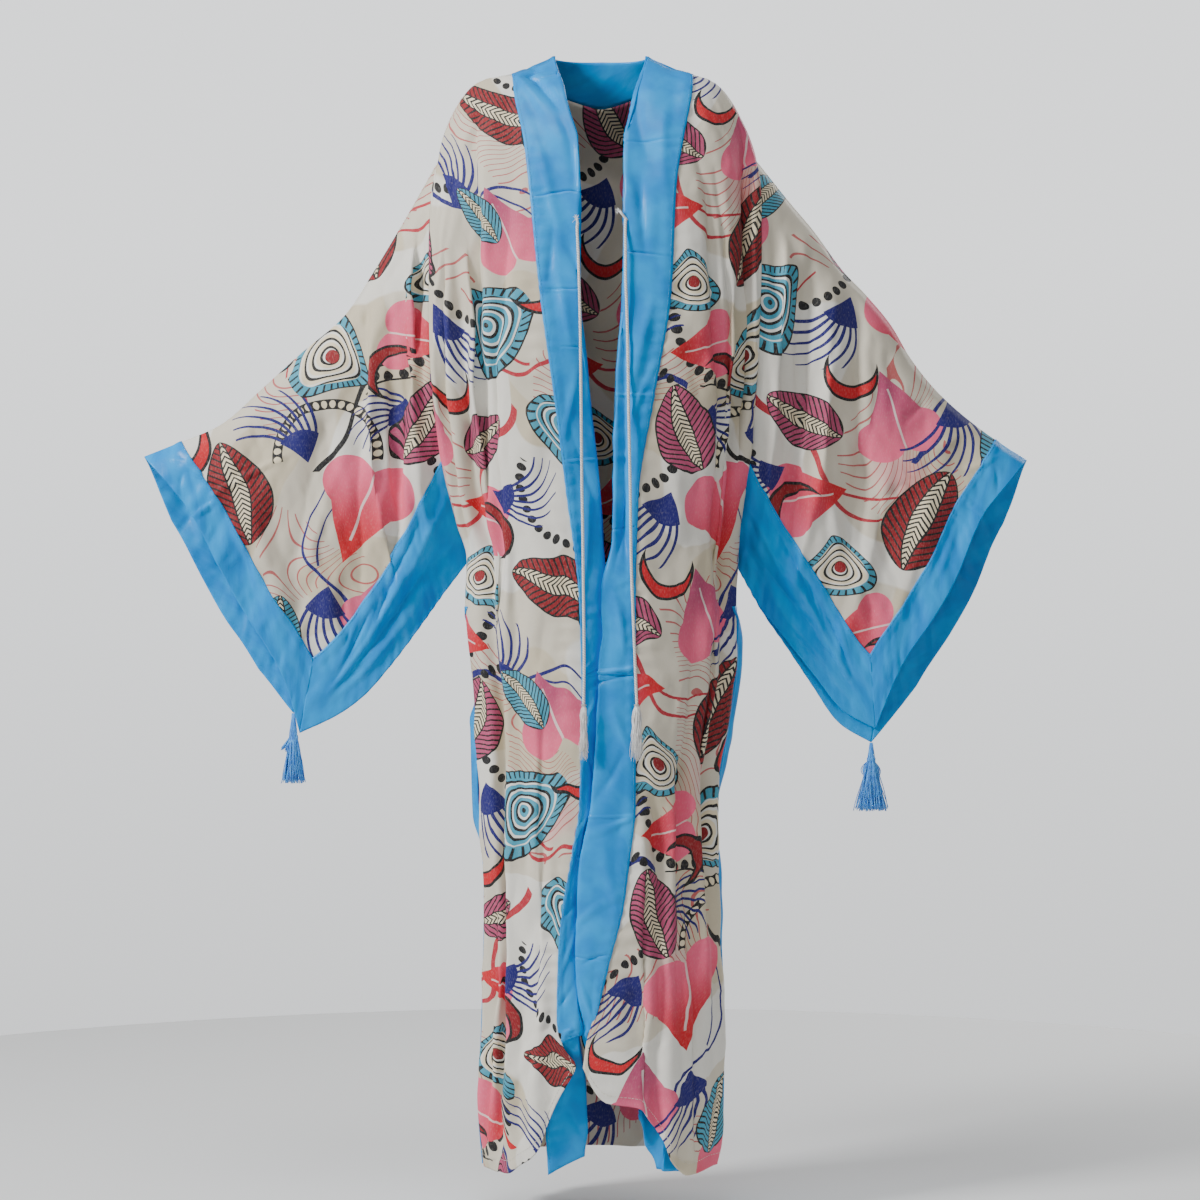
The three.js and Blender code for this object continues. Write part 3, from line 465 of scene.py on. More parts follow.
def sleeveFoldAt(along, down):
    push = np.zeros(np.broadcast(along, down).shape)
    for index, fold in rowsOf(sleeveFolds):
        middle = fold["along"] + fold["slant"] * down + ripple(down, index, sleeveForm["sway"])
        fade = inRange(down, (fold["from"], fold["from"] + sleeveForm["foldFade"]),
                       (fold["to"], fold["to"] - sleeveForm["foldFade"]))
        uneven = 1 + ripple(down, index, sleeveForm["uneven"])
        apart = np.abs((along - middle) / fold["spread"])
        push += fold["depth"] * uneven * fade * np.exp(-apart ** body["foldPower"])
    return push * ramp(along, 0, sleeveForm["rootFade"])


def sleevePoint(sign, facing, along, down):
    # along: 0 at the armhole, 1 at the cuff; down: 0 at the overarm, 1 at the lower edge
    shape = sleeveShapes[sideOf(sign)]
    ends = {}
    for column in ("out", "z"):
        armhole = [armholeLevel(share) for share in (0.0, 1.0, clampShare(down))]
        if column == "out":
            armhole = [halfWidthAt(sign, level) for level in armhole]
        top, bottom, near = armhole
        farTop, farBottom = shape["cuff"][column][0], shape["cuff"][column][-1]
        over = readTable(shape["overarm"], "along", along, column)
        under = readTable(shape["lower"], "along", along, column)
        cuff = readTable(shape["cuff"], "along", down, column)
        corners = mix(mix(top, farTop, along), mix(bottom, farBottom, along), down)
        ends[column] = mix(over, under, down) + mix(near, cuff, along) - corners
    out, z = ends["out"], ends["z"]
    if facing > 0:
        reach = sleeveReach[sideOf(sign)]
        past = reach["cuff"] * along ** sleeveForm["pastPower"] * midShare(down)
        lower = reach["lower"] * ramp(along, *sleeveForm["lowerBlend"])
        lower = lower * down ** sleeveForm["lowerPower"]
        out = out + sleeveForm["pastWay"][0] * past + sleeveForm["lowerWay"][0] * lower
        z = z + sleeveForm["pastWay"][1] * past + sleeveForm["lowerWay"][1] * lower
    cuffDeep = readTable(cuffDepths, "down", down, "deep")
    deep = mix(edgeDepthAt(armholeLevel(down)), cuffDeep, ramp(along, *sleeveForm["depthBlend"]))
    fold = sleeveFoldAt(along, down) * clampShare(deep / sleeveForm["fullFoldDepth"])
    y = facing * (body["seamGap"] / 2 + np.maximum(0, deep + fold))
    return np.stack([sign * out, y, z], axis=-1)


def seamCorner():
    # where the seams of the two sleeve bands cross
    along = 0.85
    for _ in range(12):
        along = cuffSeam(lowerSeam(along))
    return along, lowerSeam(along)


# laying cloth: a crease fades to its ends and has a shallow dip on both sides
creaseForm = {"ends": 1.5, "power": 1.5, "dip": 0.32, "dipWidth": 2.3}
pleatForm = {"ends": 0.8, "power": 1.5, "wander": ((0.0024, 26, 1.9, 0), (0.0011, 61, 1, 0)),
             "uneven": ((0.18, 19, 2.3, 0),)}


def placeOn(line, u, v):
    # how far along a crease's or pleat's own line, from -1 to 1, and how far across from it
    lean = math.radians(line["lean"])
    apartU, apartV = u - line["u"], v - line["v"]
    along = (apartU * math.sin(lean) + apartV * math.cos(lean)) * 2 / line["length"]
    across = apartU * math.cos(lean) - apartV * math.sin(lean) - line["bow"] * (1 - along ** 2)
    return along, across


def creaseAt(u, v, creases):
    # each crease is a soft ridge, or a valley below zero, about its own middle on the flat cloth
    push = np.zeros(np.broadcast(u, v).shape)
    for _, crease in rowsOf(creases):
        along, across = placeOn(crease, u, v)
        fade = clampShare(1 - along ** 2) ** creaseForm["ends"]
        apart = np.abs(across / crease["width"])
        dip = creaseForm["dip"] * np.exp(-(apart / creaseForm["dipWidth"]) ** 2)
        push += crease["depth"] * fade * (np.exp(-apart ** creaseForm["power"]) - dip)
    return push


def pleatAt(u, v, pleats, flip=1):
    # each pleat sinks slowly on one side of its line and rises sharply on the other
    push = np.zeros(np.broadcast(u, v).shape)
    for index, pleat in rowsOf(pleats):
        along, across = placeOn(pleat, u, v)
        across = across - ripple(v, index, pleatForm["wander"])
        fade = clampShare(1 - along ** 2) ** pleatForm["ends"]
        uneven = 1 + ripple(v, index, pleatForm["uneven"])
        width = np.where(across * flip < 0, pleat["left"], pleat["right"])
        push += pleat["depth"] * uneven * fade * np.exp(-(np.abs(across) / width) ** pleatForm["power"])
    return push


def pushOf(u, v, shape, creased, pleated=1, flip=1):
    # all of a panel's own creases and pleats, each kind made stronger by a factor
    return creaseAt(u, v, shape["creases"]) * creased + pleatAt(u, v, shape["pleats"], flip) * pleated


waveForm = {"count": 12, "sum": 3.5, "sizes": (0.6, 1.7), "sway": 0.6, "swayPace": 0.31}


def unevenness(u, v, seed, size, height, upright=0.35):
    # long low waves of the cloth, narrower across than down
    waves = np.random.default_rng(seed)
    push = np.zeros(np.broadcast(u, v).shape)
    for _ in range(waveForm["count"]):
        turn = waves.normal(0, upright)
        wave = 2 * math.pi / (size * waves.uniform(*waveForm["sizes"]))
        sway = waveForm["sway"] * np.sin(v * wave * waveForm["swayPace"] + waves.uniform(0, 6))
        phase = waves.uniform(0, 2 * math.pi)
        push += np.sin(wave * (u * math.cos(turn) + v * math.sin(turn)) + phase + sway)
    return push * height / waveForm["sum"]


def wavesOf(u, v, waves, shift):
    return sum(unevenness(u, v, seed + shift, size, height) for seed, size, height in waves)


def outwardsOf(points, away):
    # the direction out of the cloth at each of its points
    out = unit(np.cross(np.gradient(points, axis=1), np.gradient(points, axis=0)))
    turned = np.sum(out * away) < 0
    return (-out if turned else out), turned


def measuredPrint(points, startColumn=0):
    # flat sizes: distance across from one column, and distance down each column
    across = np.linalg.norm(np.diff(points, axis=1), axis=-1)
    u = np.concatenate([np.zeros((points.shape[0], 1)), np.cumsum(across, axis=1)], axis=1)
    u = u - u[:, startColumn:startColumn + 1]
    down = np.linalg.norm(np.diff(points, axis=0), axis=-1)
    v = -np.concatenate([np.zeros((1, points.shape[1])), np.cumsum(down, axis=0)], axis=0)
    return np.stack([u, v], axis=-1)


def addMesh(name, points, faces, material, uv=None, flat=None):
    mesh = bpy.data.meshes.new(name)
    mesh.vertices.add(len(points))
    mesh.vertices.foreach_set("co", np.asarray(points, dtype=np.float32).ravel())
    corners = np.asarray(faces, dtype=np.int32)
    mesh.loops.add(corners.size)
    mesh.loops.foreach_set("vertex_index", corners.ravel())
    mesh.polygons.add(len(corners))
    starts = np.arange(0, corners.size, corners.shape[1], dtype=np.int32)
    mesh.polygons.foreach_set("loop_start", starts)
    mesh.update(calc_edges=True)
    smooth = np.ones(len(corners), dtype=bool)
    if flat is not None:
        smooth[flat] = False
    mesh.polygons.foreach_set("use_smooth", smooth)
    if uv is not None:
        layer = mesh.uv_layers.new(name="cut")
        layer.data.foreach_set("uv", np.asarray(uv, dtype=np.float32)[corners.ravel()].ravel())
    mesh.materials.append(material)
    mesh.validate()
    piece = bpy.data.objects.new(name, mesh)
    bpy.context.collection.objects.link(piece)
    return piece


def gridFaces(rows, columns, start=0):
    place = start + np.arange(rows * columns).reshape(rows, columns)
    corners = [place[:-1, :-1], place[:-1, 1:], place[1:, 1:], place[1:, :-1]]
    return np.stack(corners, axis=-1).reshape(-1, 4)


laidCloths = {}


def layCloth(name, points, away, uv, thickness, lift, material):
    # a thin shell on a grid of points: the inner layer, the outer layer and the rim between them
    out, turned = outwardsOf(points, away)
    rows, columns = points.shape[:2]
    lift = np.asarray(lift) + np.zeros((rows, columns))
    inner = points + out * lift[..., None]
    outer = points + out * (lift + thickness)[..., None]
    laidCloths[name] = {"points": points, "out": out, "outer": outer}
    count = rows * columns
    upper = gridFaces(rows, columns, count)
    lower = gridFaces(rows, columns)[:, ::-1]
    place = np.arange(count).reshape(rows, columns)
    border = np.concatenate([place[0, :], place[1:, -1], place[-1, -2::-1], place[-2:0:-1, 0]])
    after = np.roll(border, -1)
    rim = np.stack([border, after, after + count, border + count], axis=-1)
    faces = np.concatenate([upper, lower, rim])
    if turned:
        faces = faces[:, ::-1]
    rimFaces = np.arange(len(faces) - len(rim), len(faces))
    vertices = np.concatenate([inner.reshape(-1, 3), outer.reshape(-1, 3)])
    flatPlaces = np.concatenate([uv.reshape(-1, 2)] * 2)
    return addMesh(name, vertices, faces, material, flatPlaces, rimFaces)


def boundEdge(cloth, out, face, back):
    # a strip folded round a cloth's edge, which is the first column of its grid
    outside = (cloth + out * face)[:, ::-1]
    inside = cloth - out * back
    beyond = unit(cloth[:, 0] - cloth[:, 1])
    middle = cloth[:, 0] + out[:, 0] * (face - back) / 2
    radius = (face + back) / 2
    turns = np.radians([30, 60, 90, 120, 150])
    ways = [out[:, 0] * math.cos(turn) + beyond * math.sin(turn) for turn in turns]
    bend = np.stack([middle + way * radius for way in ways], axis=1)
    away = np.concatenate([out[:, ::-1], np.stack(ways, axis=1), -out], axis=1)
    return np.concatenate([outside, bend, inside], axis=1), away


def flatArea(points):
    alongRow = np.diff(points, axis=1)[:-1]
    downColumn = np.diff(points, axis=0)[:, :-1]
    return float(np.sum(np.linalg.norm(np.cross(alongRow, downColumn), axis=-1)))


# mixing finishes from nodes
class Reading:
    # a number that a finish reads at each point, with the sums written as plain sums
    def __init__(self, socket):
        self.socket = socket

    def __add__(self, other):
        return calc("ADD", self, other)

    def __sub__(self, other):
        return calc("SUBTRACT", self, other)

    def __mul__(self, other):
        return calc("MULTIPLY", self, other)

    def __truediv__(self, other):
        return calc("DIVIDE", self, other)

    def __lt__(self, other):
        return calc("LESS_THAN", self, other)

    def __gt__(self, other):
        return calc("GREATER_THAN", self, other)

    __radd__ = __add__
    __rmul__ = __mul__

    def __rsub__(self, other):
        return calc("SUBTRACT", other, self)


finish = {"nodes": None, "links": None}


def addNode(kind, inputs, output=0, **choices):
    node = finish["nodes"].new(kind)
    for name, value in choices.items():
        setattr(node, name, value)
    for key, value in inputs.items():
        if isinstance(value, Reading):
            finish["links"].new(value.socket, node.inputs[key])
        elif value is not None:
            node.inputs[key].default_value = value
    return Reading(node.outputs[output])


def calc(operation, *values):
    return addNode("ShaderNodeMath", dict(enumerate(values)), operation=operation)


def vector(operation, *values, output=0):
    return addNode("ShaderNodeVectorMath", dict(enumerate(values)), output, operation=operation)


def split(value):
    first = addNode("ShaderNodeSeparateXYZ", {0: value})
    node = first.socket.node
    return first, Reading(node.outputs[1]), Reading(node.outputs[2])


def paint(under, over, share):
    return addNode("ShaderNodeMix", {0: share, 6: under, 7: over}, 2, data_type="RGBA")


def both(first, second):
    return calc("MULTIPLY", first, second)


def band(value, low, high):
    return both(calc("GREATER_THAN", value, low), calc("LESS_THAN", value, high))


def softStep(value, low, high):
    return addNode("ShaderNodeMapRange", {0: value, 1: low, 2: high}, interpolation_type="SMOOTHSTEP")


def noise(place, scale, detail=2.0, rough=0.5, bend=0.0):
    inputs = {"Vector": place, "Scale": scale, "Detail": detail, "Roughness": rough, "Distortion": bend}
    return addNode("ShaderNodeTexNoise", inputs)


def newFinish(name):
    material = bpy.data.materials.new(name)
    material.use_nodes = True
    finish["nodes"], finish["links"] = material.node_tree.nodes, material.node_tree.links
    surface = finish["nodes"]["Principled BSDF"]
    return material, surface


def joinTo(surface, **inputs):
    for name, value in inputs.items():
        socket = surface.inputs[name.replace("_", " ")]
        if isinstance(value, Reading):
            finish["links"].new(value.socket, socket)
        else:
            socket.default_value = value


def bumpOf(height, distance, strength=1.0):
    inputs = {"Strength": strength, "Distance": distance, "Height": height}
    return addNode("ShaderNodeBump", inputs)


def cutPlace():
    return addNode("ShaderNodeUVMap", {}, uv_map="cut")


# the print: leaves, paisleys, petals, sprays, crescents, dotted bows and vines
# Each motif has its place, turn, size and hue on a tile of flat cloth, and repeats with the tile.
inks = {
    "cream": colour(206, 198, 180), "beige": colour(192, 178, 146), "white": colour(226, 224, 217),
    "black": colour(8, 6, 10), "crimson": colour(138, 10, 22), "red": colour(196, 8, 26),
    "rose": colour(174, 66, 104), "pink": colour(232, 96, 128), "teal": colour(60, 150, 176),
    "navy": colour(6, 2, 104), "vine": colour(176, 36, 52), "bone": colour(226, 212, 180),
}
printTile = (0.46, 0.56)
farOff = 9.0

leaves = motifTable([
    (75, 75, 74, 62, 0), (315, 155, 118, 56, 1), (165, 335, 22, 58, 0), (395, 385, 64, 64, 0),
    (255, 500, 152, 50, 1), (30, 470, 98, 45, 2), (210, 205, 48, 40, 2),
])
paisleys = motifTable([
    (215, 75, 30, 52, 0), (425, 235, 200, 47, 1), (75, 245, 300, 54, 0), (300, 330, 85, 38, 1),
    (130, 520, 140, 43, 0),
])
petals = motifTable([
    (390, 60, 110, 74, 0), (175, 185, 250, 60, 1), (330, 255, 15, 54, 0), (60, 385, 60, 72, 0),
    (365, 500, 290, 64, 1), (255, 410, 190, 56, 0),
])
sprays = motifTable([
    (290, 30, 250, 62, 0), (15, 165, 70, 60, 0), (230, 260, 110, 56, 0), (440, 470, 280, 62, 0),
    (190, 430, 200, 50, 0), (370, 175, 20, 46, 0),
])
crescents = motifTable([
    (145, 125, 40, 37, 0), (355, 215, 215, 33, 1), (110, 300, 130, 35, 0), (245, 395, 330, 34, 1),
    (455, 330, 20, 37, 0), (310, 555, 80, 33, 0),
])
dottedBows = motifTable([
    (240, 150, 20, 88, 0), (20, 310, 160, 72, 1), (370, 300, 250, 100, 0), (120, 450, 300, 84, 0),
    (430, 120, 100, 66, 1),
])
vines = motifTable([
    (150, 30, 10, 140, 0), (400, 180, 130, 120, 1), (50, 300, 220, 130, 0), (280, 430, 320, 150, 0),
    (440, 540, 70, 110, 2), (200, 230, 180, 115, 2),
])


def ownPlace(cloth, motifs, reach):
    # the place inside the nearest motif of a kind, in its own size, with its hue as the third number
    chosen = (farOff, farOff, 0.0)
    high = (printTile[0] / 2, printTile[1] / 2, farOff)
    low = tuple(-value for value in high)
    for x, y, turn, size, hue in zip(*motifs.values()):
        moved = vector("SUBTRACT", cloth, (x, y, 0))
        near = vector("WRAP", moved, high, low)
        inputs = {"Vector": near, "Rotation": (0, 0, math.radians(turn)), "Scale": (size, size, 1)}
        own = addNode("ShaderNodeMapping", inputs, vector_type="TEXTURE")
        inside = vector("LENGTH", own, output=1) < reach
        marked = vector("ADD", own, (0, 0, hue))
        chosen = addNode("ShaderNodeMix", {0: inside, 4: chosen, 5: marked}, 1, data_type="VECTOR")
    return split(chosen)


def pickHue(hue, first, second, third=None):
    picked = paint(first, second, band(hue, 0.5, 1.5))
    return paint(picked, third, hue > 1.5) if third else picked


def addPatches(under, cloth):
    # broad shapes in two near tones, soft pink washes, and bundles of thin lines that run side by side
    soft = noise(cloth, 6.5, 0.5)
    under = paint(under, inks["beige"], softStep(soft, 0.55, 0.56) * 0.6)
    broad = noise(vector("ADD", cloth, (3, 7, 0)), 5.5, 0.5)
    under = paint(under, inks["white"], softStep(broad, 0.54, 0.55) * 0.8)
    under = paint(under, inks["pink"], softStep(broad, 0.34, 0.22) * 0.5)
    lines = calc("ABSOLUTE", calc("FRACT", soft * 46.0) - 0.5) < 0.075
    return paint(under, inks["vine"], both(lines, broad < 0.42) * 0.85)


def addVines(under, cloth):
    # stems that thin out, each with a short branch
    x, y, hue = ownPlace(cloth, vines, 1.1)
    bow = calc("ABSOLUTE", y - 0.35 * x * x + 0.12 * calc("SINE", x * 5.0))
    line = both(bow < 0.020 - 0.011 * x, calc("ABSOLUTE", x) < 0.95)
    branch = calc("ABSOLUTE", y - 0.35 * x * x - 0.9 * (x - 0.1) * (x - 0.1)) < 0.013
    line = calc("MAXIMUM", line, both(branch, band(x, 0.1, 0.62)))
    return paint(under, pickHue(hue, inks["vine"], inks["black"], inks["navy"]), line)


def addDottedBows(under, cloth):
    x, y, hue = ownPlace(cloth, dottedBows, 1.15)
    radius = calc("SQRT", x * x + y * y)
    turn = calc("ARCTAN2", y, x)
    step = turn * 6.2
    apart = calc("FRACT", step) - 0.5
    fromRing = (radius - 0.9) * 5.6
    bead = calc("SQRT", apart * apart + fromRing * fromRing) < 0.36
    shown = band(turn, -1.9, 1.5)
    ribbon = both(calc("ABSOLUTE", radius - 0.9) < 0.085, both(shown, hue > 0.5))
    under = paint(under, inks["black"], ribbon)
    return paint(under, pickHue(hue, inks["black"], inks["bone"]), both(bead, shown))


def addPetals(under, cloth):
    # two round lobes that run to one point, dark red at the point and pink at the rim
    x, y, hue = ownPlace(cloth, petals, 1.1)
    lobe = calc("ABSOLUTE", y) - 0.36
    along = x - 0.30
    head = calc("SQRT", lobe * lobe + along * along) < 0.42
    taper = both(calc("ABSOLUTE", y) < (x + 0.95) * 0.60, band(x, -0.95, 0.32))
    inside = calc("MAXIMUM", head, taper)
    shade = softStep(x + 0.25 * calc("ABSOLUTE", y), -0.7, 0.75)
    fill = paint(pickHue(hue, inks["red"], inks["rose"]), inks["pink"], shade)
    fill = paint(fill, inks["white"], both(calc("ABSOLUTE", y) < 0.02, x > -0.6) * 0.7)
    return paint(under, fill, inside)


def addSprays(under, cloth):
    # brush strokes that fan out of one point
    x, y, _ = ownPlace(cloth, sprays, 1.15)
    fromRoot = x + 0.95
    radius = calc("SQRT", fromRoot * fromRoot + y * y)
    turn = calc("ARCTAN2", y, fromRoot)
    curl = turn + 0.22 * radius * radius
    stroke = calc("ABSOLUTE", calc("FRACT", curl * 5.2) - 0.5)
    width = 0.36 - 0.19 * radius
    tip = 1.75 - 0.5 * calc("ABSOLUTE", curl)
    inside = both(both(stroke < width, radius < tip), band(curl, -0.57, 0.77))
    solid = both(radius < 0.62, band(curl, -0.57, 0.77))
    return paint(under, inks["navy"], calc("MAXIMUM", inside, solid))


def addPaisleys(under, cloth):
    # a round drop with a bent tip, filled with rings
    x, y, hue = ownPlace(cloth, paisleys, 1.25)
    bent = y - 0.42 * x * x
    wide = 0.72 - 0.50 * x
    drop = calc("SQRT", x * x * 0.95 + (bent / wide) * (bent / wide) * 0.42)
    edge = drop * 6.0 + 0.35 * calc("SINE", x * 4.0)
    ring = calc("FRACT", edge)
    inside = drop < 0.92
    fill = paint(inks["white"], inks["black"], band(ring, 0.0, 0.30))
    fill = paint(fill, pickHue(hue, inks["teal"], inks["bone"]), band(ring, 0.30, 0.72))
    fill = paint(fill, inks["teal"], both(drop > 0.70, drop < 0.92))
    dash = calc("FRACT", calc("ARCTAN2", bent, x) * 5.0) < 0.3
    fill = paint(fill, inks["black"], both(dash, drop > 0.72))
    fill = paint(fill, inks["black"], band(drop, 0.88, 0.92))
    fill = paint(fill, inks["crimson"], both(drop < 0.16, hue > 0.5))
    return paint(under, fill, inside)


def addLeaves(under, cloth):
    # a ribbed leaf with a pale ladder down its middle
    x, y, hue = ownPlace(cloth, leaves, 1.12)
    side = calc("ABSOLUTE", y + 0.10 * x * x)
    left = 1.0 - x * x
    wide = calc("POWER", calc("MAXIMUM", left, 0.0), 0.62) * (0.60 - 0.12 * x)
    inside = side < wide
    rib = calc("FRACT", (x - 0.75 * side) * 7.5)
    fill = pickHue(hue, inks["crimson"], inks["rose"], inks["teal"])
    fill = paint(fill, inks["black"], rib < 0.24 + 0.25 * side)
    ladder = side < (0.15 * left + 0.015)
    rungs = calc("FRACT", (x + 0.9 * side) * 10.0) < 0.42
    fill = paint(fill, inks["bone"], ladder)
    fill = paint(fill, inks["black"], both(ladder, rungs))
    fill = paint(fill, inks["black"], band(side, 0.16 * left, 0.16 * left + 0.03))
    fill = paint(fill, inks["black"], (wide - side) < 0.035)
    return paint(under, fill, inside)


def addCrescents(under, cloth):
    x, y, hue = ownPlace(cloth, crescents, 1.15)
    whole = calc("SQRT", x * x + y * y)
    off = x - 0.42
    bite = calc("SQRT", off * off + y * y)
    inside = both(whole < 1.0, bite > 0.88)
    rim = calc("MAXIMUM", whole > 0.90, bite < 0.96)
    fill = paint(pickHue(hue, inks["red"], inks["crimson"]), inks["black"], rim)
    return paint(under, fill, inside)


printLook = {
    "wander": 14.0, "wanderBy": 0.010, "threads": 900.0, "specks": 260.0, "crumples": 42.0,
    "weave": 9000.0, "worn": 0.12, "specked": 0.15, "weaveHeight": 0.006, "threadHeight": 0.02,
    "bump": (0.0018, 0.6),
    "surface": {"Roughness": 0.74, "Sheen Weight": 0.05, "Sheen Roughness": 0.5},
}


def makePrintedCloth():
    material, surface = newFinish("printedCloth")
    cut = cutPlace()
    inputs = {"Vector": cut, "Scale": printLook["wander"], "Detail": 1.0}
    wander = addNode("ShaderNodeTexNoise", inputs, 1)
    bent = vector("SCALE", vector("SUBTRACT", wander, (0.5, 0.5, 0.5)))
    bent.socket.node.inputs["Scale"].default_value = printLook["wanderBy"]
    cloth = vector("MULTIPLY", vector("ADD", cut, bent), (1, 1, 0))
    ink = addPatches(inks["cream"], cloth)
    motifs = (addVines, addDottedBows, addPetals, addSprays, addPaisleys, addLeaves, addCrescents)
    for addMotif in motifs:
        ink = addMotif(ink, cloth)
    # worn ink, threads and small crumples
    threads = noise(vector("MULTIPLY", cut, (1, 0.25, 0)), printLook["threads"], 2.0)
    speck = noise(cut, printLook["specks"], 3.0)
    ink = paint(ink, inks["white"], softStep(threads, 0.45, 0.85) * printLook["worn"])
    ink = paint(ink, inks["beige"], softStep(speck, 0.55, 0.8) * printLook["specked"])
    crumple = noise(vector("MULTIPLY", cut, (1.0, 0.55, 0)), printLook["crumples"], 2.0, 0.5, 0.3)
    u, v, _ = split(cut)
    weave = calc("SINE", u * printLook["weave"]) * calc("SINE", v * printLook["weave"])
    relief = crumple + weave * printLook["weaveHeight"] + threads * printLook["threadHeight"]
    joinTo(surface, Base_Color=ink, Normal=bumpOf(relief, *printLook["bump"]), **printLook["surface"])
    return material


bandLook = {
    "shades": (colour(0, 156, 230), colour(0, 134, 212)), "sheen": colour(20, 160, 222),
    "sheenShare": 0.3, "clouds": 22.0, "threads": 1300.0, "threadHeight": 0.02,
    "puckers": 85.0, "puckerHeight": 0.25, "crumples": 30.0, "crumpleHeight": 0.5,
    "bump": (0.0020, 0.6), "surface": {"Roughness": 0.36, "Specular IOR Level": 0.24},
}


def makePlainBand():
    material, surface = newFinish("plainBand")
    cut = cutPlace()
    shade = paint(*bandLook["shades"], softStep(noise(cut, bandLook["clouds"], 3.0), 0.35, 0.65))
    threads = noise(vector("MULTIPLY", cut, (0.12, 1, 0)), bandLook["threads"], 2.0)
    shade = paint(shade, bandLook["sheen"], softStep(threads, 0.5, 0.85) * bandLook["sheenShare"])
    pucker = noise(vector("MULTIPLY", cut, (0.35, 1, 0)), bandLook["puckers"], 2.0, 0.5, 0.2)
    crumple = noise(cut, bandLook["crumples"], 2.0, 0.5, 0.3)
    relief = crumple * bandLook["crumpleHeight"] + pucker * bandLook["puckerHeight"]
    relief = relief + threads * bandLook["threadHeight"]
    joinTo(surface, Base_Color=shade, Normal=bumpOf(relief, *bandLook["bump"]), **bandLook["surface"])
    return material


def makeTwistedCord(name, light, dark, turns):
    material, surface = newFinish(name)
    place = addNode("ShaderNodeUVMap", {})
    u, v, _ = split(place)
    ply = calc("SINE", (u * turns + v * 2.0) * 2 * math.pi)
    fuzz = noise(addNode("ShaderNodeTexCoord", {}, 3), 1400.0, 2.0)
    # painted shade: the colour is darker in the grooves between the plies, where the bump is low, and
    # the fuzz adds random tone
    shade = paint(dark, light, softStep(ply + fuzz, -0.6, 1.0))
    joinTo(surface, Base_Color=shade, Normal=bumpOf(ply + fuzz * 0.5, 0.0004, 0.8))
    joinTo(surface, Roughness=0.8, Sheen_Weight=0.25)
    return material


def makeThread(name, light, dark, scale):
    material, surface = newFinish(name)
    place = addNode("ShaderNodeTexCoord", {}, 3)
    fuzz = noise(vector("MULTIPLY", place, (1, 1, 0.08)), scale, 3.0)
    joinTo(surface, Base_Color=paint(dark, light, softStep(fuzz, 0.35, 0.65)))
    joinTo(surface, Normal=bumpOf(fuzz, 0.0005, 0.6), Roughness=0.7, Sheen_Weight=0.3)
    return material


printedCloth = makePrintedCloth()
plainBand = makePlainBand()
# the cord's darker colour is painted shade in the grooves between its plies
tieCotton = makeTwistedCord("tieCotton", colour(238, 236, 230), colour(196, 194, 190), 190.0)
tieFluff = makeThread("tieFluff", colour(244, 243, 240), colour(206, 205, 204), 700.0)
tasselThread = makeThread("tasselThread", colour(84, 176, 246), colour(18, 112, 204), 900.0)
seamThread = makeThread("seamThread", colour(60, 168, 216), colour(8, 104, 164), 800.0)
hemThread = makeThread("hemThread", colour(232, 228, 218), colour(176, 170, 156), 800.0)
print("finishes made")


# tie cords: each is sewn to the inner edge of its band and hangs plumb; their points are in millimetres
tieCords = {
    "right": [
        (-28, -109.4, -199), (-28.5, -111.6, -206), (-28, -114, -218), (-27, -116.5, -240),
        (-26, -118, -270), (-25, -119, -310), (-24.5, -120, -350), (-24, -120, -400),
        (-23.5, -119.5, -450), (-23, -119, -500), (-22, -118.5, -550), (-21.5, -118, -600),
        (-21, -117.5, -650), (-20.5, -117.5, -700), (-21, -117.5, -748),
    ],
    "left": [
        (27, -108.6, -194), (26.5, -111, -201), (26.5, -113.5, -212), (26.8, -116.2, -236),
        (27, -118, -266), (28.5, -119, -310), (29.5, -120, -355), (30, -120, -400), (31, -119.5, -450),
        (32, -119, -500), (32.5, -118.5, -550), (33.5, -118, -600), (35.5, -117.5, -650),
        (37.5, -117.5, -700), (39.5, -117.5, -748),
    ],
}
tieForm = {"diameter": 0.0034, "rows": 120}


def runAlong(line):
    # the distance along a line at each of its points
    return np.concatenate([[0], np.cumsum(np.linalg.norm(np.diff(line, axis=0), axis=1))])


def readLine(line, run, places):
    # the line's points, or its directions, at some distances along it
    return np.stack([np.interp(places, run, line[:, axis]) for axis in range(3)], axis=-1)


def smoothPath(points, steps):
    # a smooth line through the points, evenly spaced
    padded = np.vstack([2 * points[0] - points[1], points, 2 * points[-1] - points[-2]])
    line = []
    for index in range(len(points) - 1):
        a, b, c, d = padded[index:index + 4]
        for t in np.linspace(0, 1, 12, endpoint=False):
            bend = (2 * a - 5 * b + 4 * c - d) * t ** 2 + (3 * b - 3 * c + d - a) * t ** 3
            line.append(0.5 * (2 * b + (c - a) * t + bend))
    line.append(points[-1])
    line = np.array(line)
    run = runAlong(line)
    return readLine(line, run, np.linspace(0, run[-1], steps)), float(run[-1])


def layCord(name, points, diameter, material):
    curve = bpy.data.curves.new(name, "CURVE")
    curve.dimensions = "3D"
    curve.bevel_depth = diameter / 2
    curve.bevel_resolution = 4
    curve.use_fill_caps = True
    spline = curve.splines.new("POLY")
    spline.points.add(len(points) - 1)
    spline.points.foreach_set("co", np.hstack([points, np.ones((len(points), 1))]).ravel())
    spline.use_smooth = True
    curve.materials.append(material)
    piece = bpy.data.objects.new(name, curve)
    bpy.context.collection.objects.link(piece)
    return piece


# strands: many thin threads in one mesh, spread over a round by the golden angle
strandForm = {"side": (0.31, 0.95, 0.05), "turn": 2.399963}


def strandPlace(index, count):
    return index * strandForm["turn"], math.sqrt((index + 0.5) / count)


def roundWay(turn, flat=1):
    return np.array([math.cos(turn), math.sin(turn) * flat, 0])


